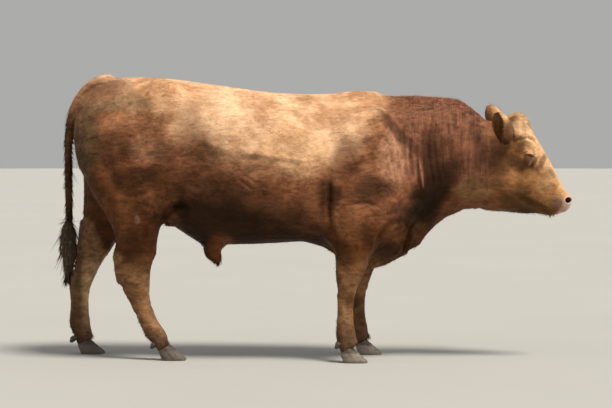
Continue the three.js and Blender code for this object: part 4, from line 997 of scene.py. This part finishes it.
def locks(name, roots, normals, ways, marks, length, width, lift, seed, rings=3, curl=0.0, pit=0.0, droop=0.0,
          finish=None, ridge=0.10, flyaway=0.0):
    """Joins many locks into one piece. Each one's map is a small patch at its root's mark."""
    rng = np.random.default_rng(seed)
    n = len(roots)
    length, width, lift = [np.broadcast_to(v, n).astype(float) for v in (length, width, lift)]
    lift = lift + flyaway * rng.random(n) ** 6
    flow = ways - normals * (ways * normals).sum(1, keepdims=True)
    flow /= np.linalg.norm(flow, axis=1, keepdims=True) + 1e-9
    across = np.cross(normals, flow)
    sway = rng.normal(0, 1, n) * curl
    flow = flow * np.cos(sway)[:, None] + across * np.sin(sway)[:, None]
    across = np.cross(normals, flow)
    bend = rng.normal(0, 0.35, n)
    points, tips, pits, offsets = [], [], [], []
    for k in range(rings):
        t = k / rings
        wide = width * (0.62, 1.0, 0.72, 0.5, 0.3)[k] if rings > 2 else width * (0.8, 0.8)[k]
        height = length * lift * t * (1.25 - 0.5 * t) - 0.0006 * (k == 0)
        centre = roots + flow * (length * t)[:, None] + normals * height[:, None]
        centre = centre + across * (length * bend * t * t * 0.35)[:, None]
        centre[:, 2] -= droop * length * t * t
        for j, (a, h) in enumerate(((-0.5, 0.0), (0.5, 0.0), (0.0, ridge))):
            points.append(centre + across * (wide * a)[:, None] + normals * (wide * h)[:, None])
            tips.append(np.full(n, t))
            pits.append(np.full(n, pit * (1 - t)))
            offsets.append((0.0012 * (j - 1), 0.0026 * t - 0.0013))
    end = roots + flow * length[:, None] + normals * (length * lift * 0.75)[:, None]
    end += across * (length * bend * 0.35)[:, None]
    end[:, 2] -= droop * length
    points.append(end)
    tips.append(np.ones(n))
    pits.append(np.zeros(n))
    offsets.append((0.0, 0.0015))
    per = 3 * rings + 1
    points = np.stack(points, 1).reshape(-1, 3)
    faces = [(0, 2, 1)]
    for k in range(rings - 1):
        a = 3 * k
        faces += [(a, a + 1, a + 4, a + 3), (a + 1, a + 2, a + 5, a + 4), (a + 2, a, a + 3, a + 5)]
    a = 3 * (rings - 1)
    faces += [(a, a + 1, per - 1), (a + 1, a + 2, per - 1), (a + 2, a, per - 1)]
    corners = np.concatenate([np.array(f) for f in faces])
    sizes = np.array([len(f) for f in faces])
    loops = (corners[None, :] + (np.arange(n) * per)[:, None]).ravel()
    totals = np.tile(sizes, n)
    mesh = bpy.data.meshes.new(name)
    mesh.vertices.add(n * per)
    mesh.vertices.foreach_set("co", points.astype(np.float32).ravel())
    mesh.loops.add(len(loops))
    mesh.loops.foreach_set("vertex_index", loops.astype(np.int32))
    mesh.polygons.add(len(totals))
    mesh.polygons.foreach_set("loop_start", np.concatenate([[0], np.cumsum(totals)[:-1]]).astype(np.int32))
    mesh.update(calc_edges=True)
    for title, values in (("lock_tip", tips), ("lock_pit", pits)):
        layer = mesh.attributes.new(title, "FLOAT", "POINT")
        layer.data.foreach_set("value", np.stack(values, 1).ravel().astype(np.float32))
    offset = np.array(offsets)
    sheet = mesh.uv_layers.new(name="OFBake")
    place = (np.clip(marks, 0.002, 0.998)[:, None, :] + offset[None, :, :]).reshape(-1, 2)[loops]
    sheet.data.foreach_set("uv", place.astype(np.float32).ravel())
    mesh.polygons.foreach_set("use_smooth", np.ones(len(totals), bool))
    soft = np.repeat(normals, per, axis=0)
    mesh.normals_split_custom_set_from_vertices(soft.astype(np.float32).tolist())
    mesh.materials.append((finish or coat).material)
    piece = bpy.data.objects.new(name, mesh)
    scene.collection.objects.link(piece)
    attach(piece, "root")
    return piece


class Bed:
    """A surface that hair grows from: its triangles, normals and unwrapped sheet, read once."""

    def __init__(self, thing):
        alone(thing)
        bpy.ops.object.mode_set(mode="EDIT")
        bpy.ops.mesh.select_all(action="SELECT")
        bpy.ops.uv.smart_project(angle_limit=math.radians(66), island_margin=0.001)
        bpy.ops.object.mode_set(mode="OBJECT")
        mesh = thing.data
        mesh.calc_loop_triangles()
        count = len(mesh.loop_triangles)
        read = {}
        for key, long in (("vertices", 3), ("loops", 3), ("polygon_index", 1)):
            flat = np.empty(count * long, np.int32)
            mesh.loop_triangles.foreach_get(key, flat)
            read[key] = flat.reshape(-1, long)
        sheet = np.empty(len(mesh.loops) * 2, np.float32)
        mesh.uv_layers.active.data.foreach_get("uv", sheet)
        self.points, self.normals = points_of(mesh), normals_of(mesh)
        self.corner, self.face = read["vertices"], read["polygon_index"][:, 0]
        self.marks = sheet.reshape(-1, 2)[read["loops"]]
        spots = self.points[self.corner]
        first, second = spots[:, 1] - spots[:, 0], spots[:, 2] - spots[:, 0]
        self.area = 0.5 * np.linalg.norm(np.cross(first, second), axis=1)
        self.centre, self.normal = spots.mean(1), self.normals[self.corner].mean(1)

    def rooted(self, share, per_metre, seed):
        """Roots spread at random: share is how thickly each triangle is set, 0 to 1."""
        rng = np.random.default_rng(seed)
        pick = np.repeat(np.arange(len(self.area)), rng.poisson(self.area * share * per_metre))
        w = rng.dirichlet((1, 1, 1), len(pick))[:, :, None]
        normals = (self.normals[self.corner[pick]] * w).sum(1)
        normals /= np.linalg.norm(normals, axis=1, keepdims=True)
        return (self.points[self.corner[pick]] * w).sum(1), normals, (self.marks[pick] * w).sum(1), rng


hide = Bed(skin)
ring_of = np.empty(len(skin.data.polygons), np.int32)
skin.data.attributes["opening"].data.foreach_get("value", ring_of)
closed = ring_of[hide.face] == 0
cx, cy, cz = hide.centre.T
nx, _, nz = hide.normal.T
on_face = (hide.centre - np.array(SKULL) / 1000)
face_way = on_face[:, 0] * math.cos(DIP) - on_face[:, 2] * math.sin(DIP)
face_up = on_face[:, 0] * math.sin(DIP) + on_face[:, 2] * math.cos(DIP)
bare_nose = (face_way > 0.385) & (face_up < 0.06)
hairy = np.where(bare_nose, 0.0, 1.0) * (cz > 0.055) * closed

body_share = hairy * (1 - ease(cx, 0.84, 0.95)) * ease(cz, 0.50, 0.60)
for k, (name, wanted) in enumerate({
    "short_hair_right": (cy < 0) & (cx < 0.0), "short_hair_left": (cy >= 0) & (cx < 0.0),
    "short_hair_fore_right": (cy < 0) & (cx >= 0.0), "short_hair_fore_left": (cy >= 0) & (cx >= 0.0),
}.items()):
    roots, normals, marks, rng = hide.rooted(body_share * wanted, 5200, 100 + k)
    size = rng.uniform(0.75, 1.3, len(roots))
    locks(name, roots, normals, lie_of(roots), marks, 0.022 * size, 0.0036 * size, 0.012, 300 + k,
          rings=2, curl=0.14, flyaway=0.12)
limb_share = hairy * (1 - ease(cx, 0.5, 0.6)) * (1 - ease(cz, 0.50, 0.60))
roots, normals, marks, rng = hide.rooted(limb_share, 9000, 110)
size = rng.uniform(0.7, 1.3, len(roots))
locks("short_hair_legs", roots, normals, lie_of(roots), marks, 0.015 * size, 0.0028 * size, 0.020, 310,
      rings=2, curl=0.18, flyaway=0.14)
head_share = hairy * ease(cx, 0.84, 0.95)
roots, normals, marks, rng = hide.rooted(head_share, 15000, 111)
size = rng.uniform(0.7, 1.3, len(roots))
locks("short_hair_head", roots, normals, lie_of(roots), marks, 0.0100 * size, 0.0019 * size, 0.012, 311,
      rings=2, curl=0.18, flyaway=0.10)

# Longer hair where it breaks the outline: a mane along the crest, curls on the poll, fringes under
# throat and belly, on the sheath, behind thighs and elbows, at fetlock and coronet.
# Each zone has its share, locks to the square metre, way, length, width, lift, curl and droop.
along_spine = np.array([-1.0, 0, -0.25])
on_dock = hairy * (1 - ease(cx, -1.215, -1.19)) * (np.abs(cy) < 0.08) * (cz > 0.66)
zones = {
    "crest_hair": (hairy * ease(nz, 0.35, 0.75) * ease(cx, 0.34, 0.50) * (1 - ease(cx, 0.84, 0.90)), 42000,
                   along_spine, 0.034, 0.0016, 0.008, 0.22, 0.0),
    "poll_curls": (hairy * ease(face_up, 0.165, 0.20) * (face_way > -70 / 1000) * (face_way < 0.075), 90000,
                   np.array([-0.6, 0, -0.3]), 0.018, 0.0015, 0.03, 0.7, 0.0),
    "throat_hair": (hairy * ease(-nz, 0.2, 0.7) * ease(cx, 0.28, 0.36) * (1 - ease(cx, 1.08, 1.14)), 14000,
                    np.array([-0.7, 0, -0.5]), 0.022, 0.0018, 0.02, 0.25, 0.05),
    "belly_hair": (hairy * ease(-nz, 0.45, 0.8) * ease(cx, -0.74, -0.66) * (1 - ease(cx, 0.26, 0.32))
                   * (cz > 0.44), 6000, along_spine, 0.024, 0.0020, 0.02, 0.25, 0.05),
    "thigh_fringe": (hairy * ease(-nx, 0.45, 0.8) * (1 - ease(cx, -0.86, -0.78)) * ease(cz, 0.42, 0.55)
                     * (1 - ease(cz, 1.12, 1.25)), 9000, np.array([-0.35, 0, -1.0]), 0.028, 0.0024, 0.03, 0.22,
                     0.0),
    "elbow_fringe": (hairy * ease(-nx, 0.35, 0.7) * ease(cx, 0.0, 0.03) * (1 - ease(cx, 0.2, 0.3)) * (cz > 0.4)
                     * (cz < 0.72), 9000, np.array([-0.45, 0, -1.0]), 0.024, 0.0024, 0.03, 0.25, 0.0),
    "fetlock_hair": (hairy * ease(-nx, 0.1, 0.5) * (cz > 0.085) * (1 - ease(cz, 0.19, 0.24)), 36000,
                     np.array([-0.45, 0, -1.0]), 0.022, 0.0017, 0.04, 0.3, 0.05),
    "tail_hair": (on_dock * (1 - ease(cz, 1.22, 1.30)), 14000,
                  np.array([0.0, 0, -1.0]), 0.034, 0.0042, 0.10, 0.3, 0.0),
    "chin_hair": (hairy * ease(face_way, 0.27, 0.32) * ease(-nz, 0.1, 0.5), 9000,
                  np.array([0.25, 0, -1.0]), 0.020, 0.0016, 0.35, 0.4, 0.1),
}
for k, (name, (share, thick, way, length, width, lift, sway, fall)) in enumerate(zones.items()):
    roots, normals, marks, rng = hide.rooted(share, thick, 400 + k)
    size = rng.uniform(0.6, 1.35, len(roots))
    ways = np.broadcast_to(way, roots.shape) + rng.normal(0, 0.12, roots.shape)
    locks(name, roots, normals, ways, marks, length * size, width * size ** 0.5, lift, 500 + k, curl=sway,
          droop=fall, flyaway=0.4)

# The dock's lower half is thick with longer hair that runs down into the switch.
roots, normals, marks, rng = hide.rooted(on_dock * (1 - ease(cz, 0.95, 1.10)), 22000, 425)
ways = np.broadcast_to(np.array([0.0, 0, -1.0]), roots.shape) + rng.normal(0, 0.08, roots.shape)
locks("dock_hair", roots, normals, ways, marks, 0.070 * rng.uniform(0.6, 1.3, len(roots)), 0.0028,
      0.10 * (1 - ease(roots[:, 2], 0.78, 1.05)) + 0.02, 525, curl=0.10)

# Over the hooves the coronet's hair stands off far enough to lie on the wall below it.
roots, normals, marks, rng = hide.rooted(hairy * (cz > 0.052) * (1 - ease(cz, 0.085, 0.11)), 80000, 430)
ways = np.broadcast_to(np.array([0.3, 0, -1.0]), roots.shape) + rng.normal(0, 0.12, roots.shape)
locks("coronet_fringe", roots, normals, ways, marks, 0.020 * rng.uniform(0.6, 1.3, len(roots)), 0.0016,
      0.12 + 0.40 * np.maximum(normals[:, 0], 0), 530, curl=0.2)

# The sheath ends in a wisp of long hair that hangs forward.
tip_share = hairy * (cx > -0.52) * (cx < -0.40) * (1 - ease(cz, 0.515, 0.545)) * (np.abs(cy) < 0.08)
roots, normals, marks, rng = hide.rooted(tip_share, 26000, 440)
ways = np.broadcast_to(np.array([0.35, 0, -1.0]), roots.shape) + rng.normal(0, 0.15, roots.shape)
length = 0.030 * rng.uniform(0.6, 1.4, len(roots))
locks("sheath_tuft", roots, normals, ways, marks, length, 0.0034, 0.12, 540, curl=0.3, droop=0.25)

# Ears: short hair outside and long pale hair in the hollow.
for side, name in ((-1, "right"), (1, "left")):
    leaf = bpy.data.objects["ear_leaf_" + name]
    bed = Bed(leaf)
    axis = leaf_way[name]
    inner = np.array(leaf_hollow[name])
    hollow = ease(bed.normal @ inner, 0.1, 0.5)
    for part, share, thick, length, width, lift in (
        ("ear_down", 1 - hollow, 42000, 0.011, 0.0018, 0.04),
        ("ear_wool", hollow, 22000, 0.022, 0.0014, 0.20),
    ):
        roots, normals, marks, rng = bed.rooted(share, thick, 450 + side)
        ways = axis + rng.normal(0, 0.15, roots.shape)
        lengths = length * rng.uniform(0.7, 1.3, len(roots))
        locks(f"{part}_{name}", roots, normals, ways, marks, lengths, width, lift, 550 + side, rings=2,
              curl=0.3)

# Lashes: a row of stiff dark hairs that fan out and down from the upper lid.
lash = Finish("lash_hair", Roughness=0.5)
strand = lash.noise(300.0)
lash.feed(Base_Color=lash.blend(strand, (0.020, 0.010, 0.007), (0.055, 0.026, 0.016)),
          Normal=lash.bump(strand, 0.2, 0.0005))
for side, name in ((-1, "right"), (1, "left")):
    centre = np.array(on_head(130, 109, 112 * side)) / 1000
    look = Vector((0.22, side, 0.02)).normalized()
    level = (Vector((1, 0, -0.19)) - look * Vector((1, 0, -0.19)).dot(look)).normalized()
    rise = look.cross(level) * (1 if look.cross(level).z > 0 else -1)
    rng = np.random.default_rng(460 + side)
    angle = np.radians(rng.uniform(25, 155, 70))
    c, s = np.cos(angle), np.sin(angle)
    a, b = 0.0275 * c + 0.001, 0.0064 * (1 - np.abs(c) ** 1.7) + rng.uniform(0.0, 0.0022, 70)
    out = np.sqrt(np.maximum((BALL + 0.0004) ** 2 - a * a - b * b, 0.0085 ** 2)) - 0.0005
    look, level, rise = np.array(look), np.array(level), np.array(rise)
    roots = centre + a[:, None] * level + b[:, None] * rise + out[:, None] * look
    ways = look + 0.35 * (a / 0.0275)[:, None] * level - 0.25 * rise
    upward, marks = np.broadcast_to(rise, roots.shape), np.stack([0.5 + a * 8, 0.5 + b * 8], 1)
    lengths = 0.016 * rng.uniform(0.7, 1.2, 70)
    locks("lashes_" + name, roots, upward, ways, marks, lengths, 0.0011, -0.9, 560 + side, curl=0.12,
          finish=lash)

# --- The tail's switch -----------------------------------------------------------------------
# Coarse dark hair matted into ropes with dried mud. The ropes hang round a felted core, and the
# last hair of the dock runs down over them.
mud = Finish("matted_hair", Roughness=0.8, Specular_IOR_Level=0.15)
x, y, z = mud.axes()
rope = mud.noise(1.0, mud.place(scale=(260, 260, 34)), detail=3.0)
clod = mud.noise(34.0, detail=4.0, rough=0.7)
dark = mud.blend(rope, (0.030, 0.019, 0.012), (0.115, 0.075, 0.048))
dark = mud.blend(mud.step(clod, 0.52, 0.66) * 0.6, dark, (0.17, 0.125, 0.085))
dark = mud.blend(mud.step(z, 0.66, 0.80), dark, (0.085, 0.045, 0.024))
mud.feed(Base_Color=dark, Roughness=0.75 + clod * 0.2, Normal=mud.bump(rope * 0.7 + clod * 0.3, 0.6, 0.003))
low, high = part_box("tail_switch")
switch = cast_of(["tail_switch"], "switch_core")
remeshed(switch, 0.006)
spots = relaxed(points_of(switch.data), edges_of(switch.data), 20)
put_points(switch.data, spots)
sway = np.sin(spots[:, 2] * 95 + np.arctan2(spots[:, 1], spots[:, 0] - (low.x + high.x) / 2) * 3)
put_points(switch.data, spots - normals_of(switch.data) * (0.012 + 0.004 * sway)[:, None])
bpy.ops.object.shade_smooth()
switch.data.materials.append(mud.material)
bed = Bed(switch)
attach(switch, "root")
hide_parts("tail_switch")
for k, (length, width, thick, lift) in enumerate([
    (0.080, 0.0085, 7000, 0.01),
    (0.050, 0.0050, 12000, 0.02),
    (0.095, 0.0036, 9000, 0.015),
]):
    roots, normals, marks, rng = bed.rooted(np.ones(len(bed.area)), thick, 470 + k)
    room = np.clip((roots[:, 2] - low.z) / length * 1.1 + 0.25, 0.3, 1.0)
    size = rng.uniform(0.7, 1.3, len(roots)) * room
    ways = np.broadcast_to(np.array([0.0, 0, -1.0]), roots.shape) + rng.normal(0, 0.06, roots.shape)
    locks(f"switch_ropes_{k + 1}", roots, normals, ways, marks, length * size, width * np.sqrt(size), lift,
          570 + k, rings=4, curl=0.10, pit=0.6, finish=mud)
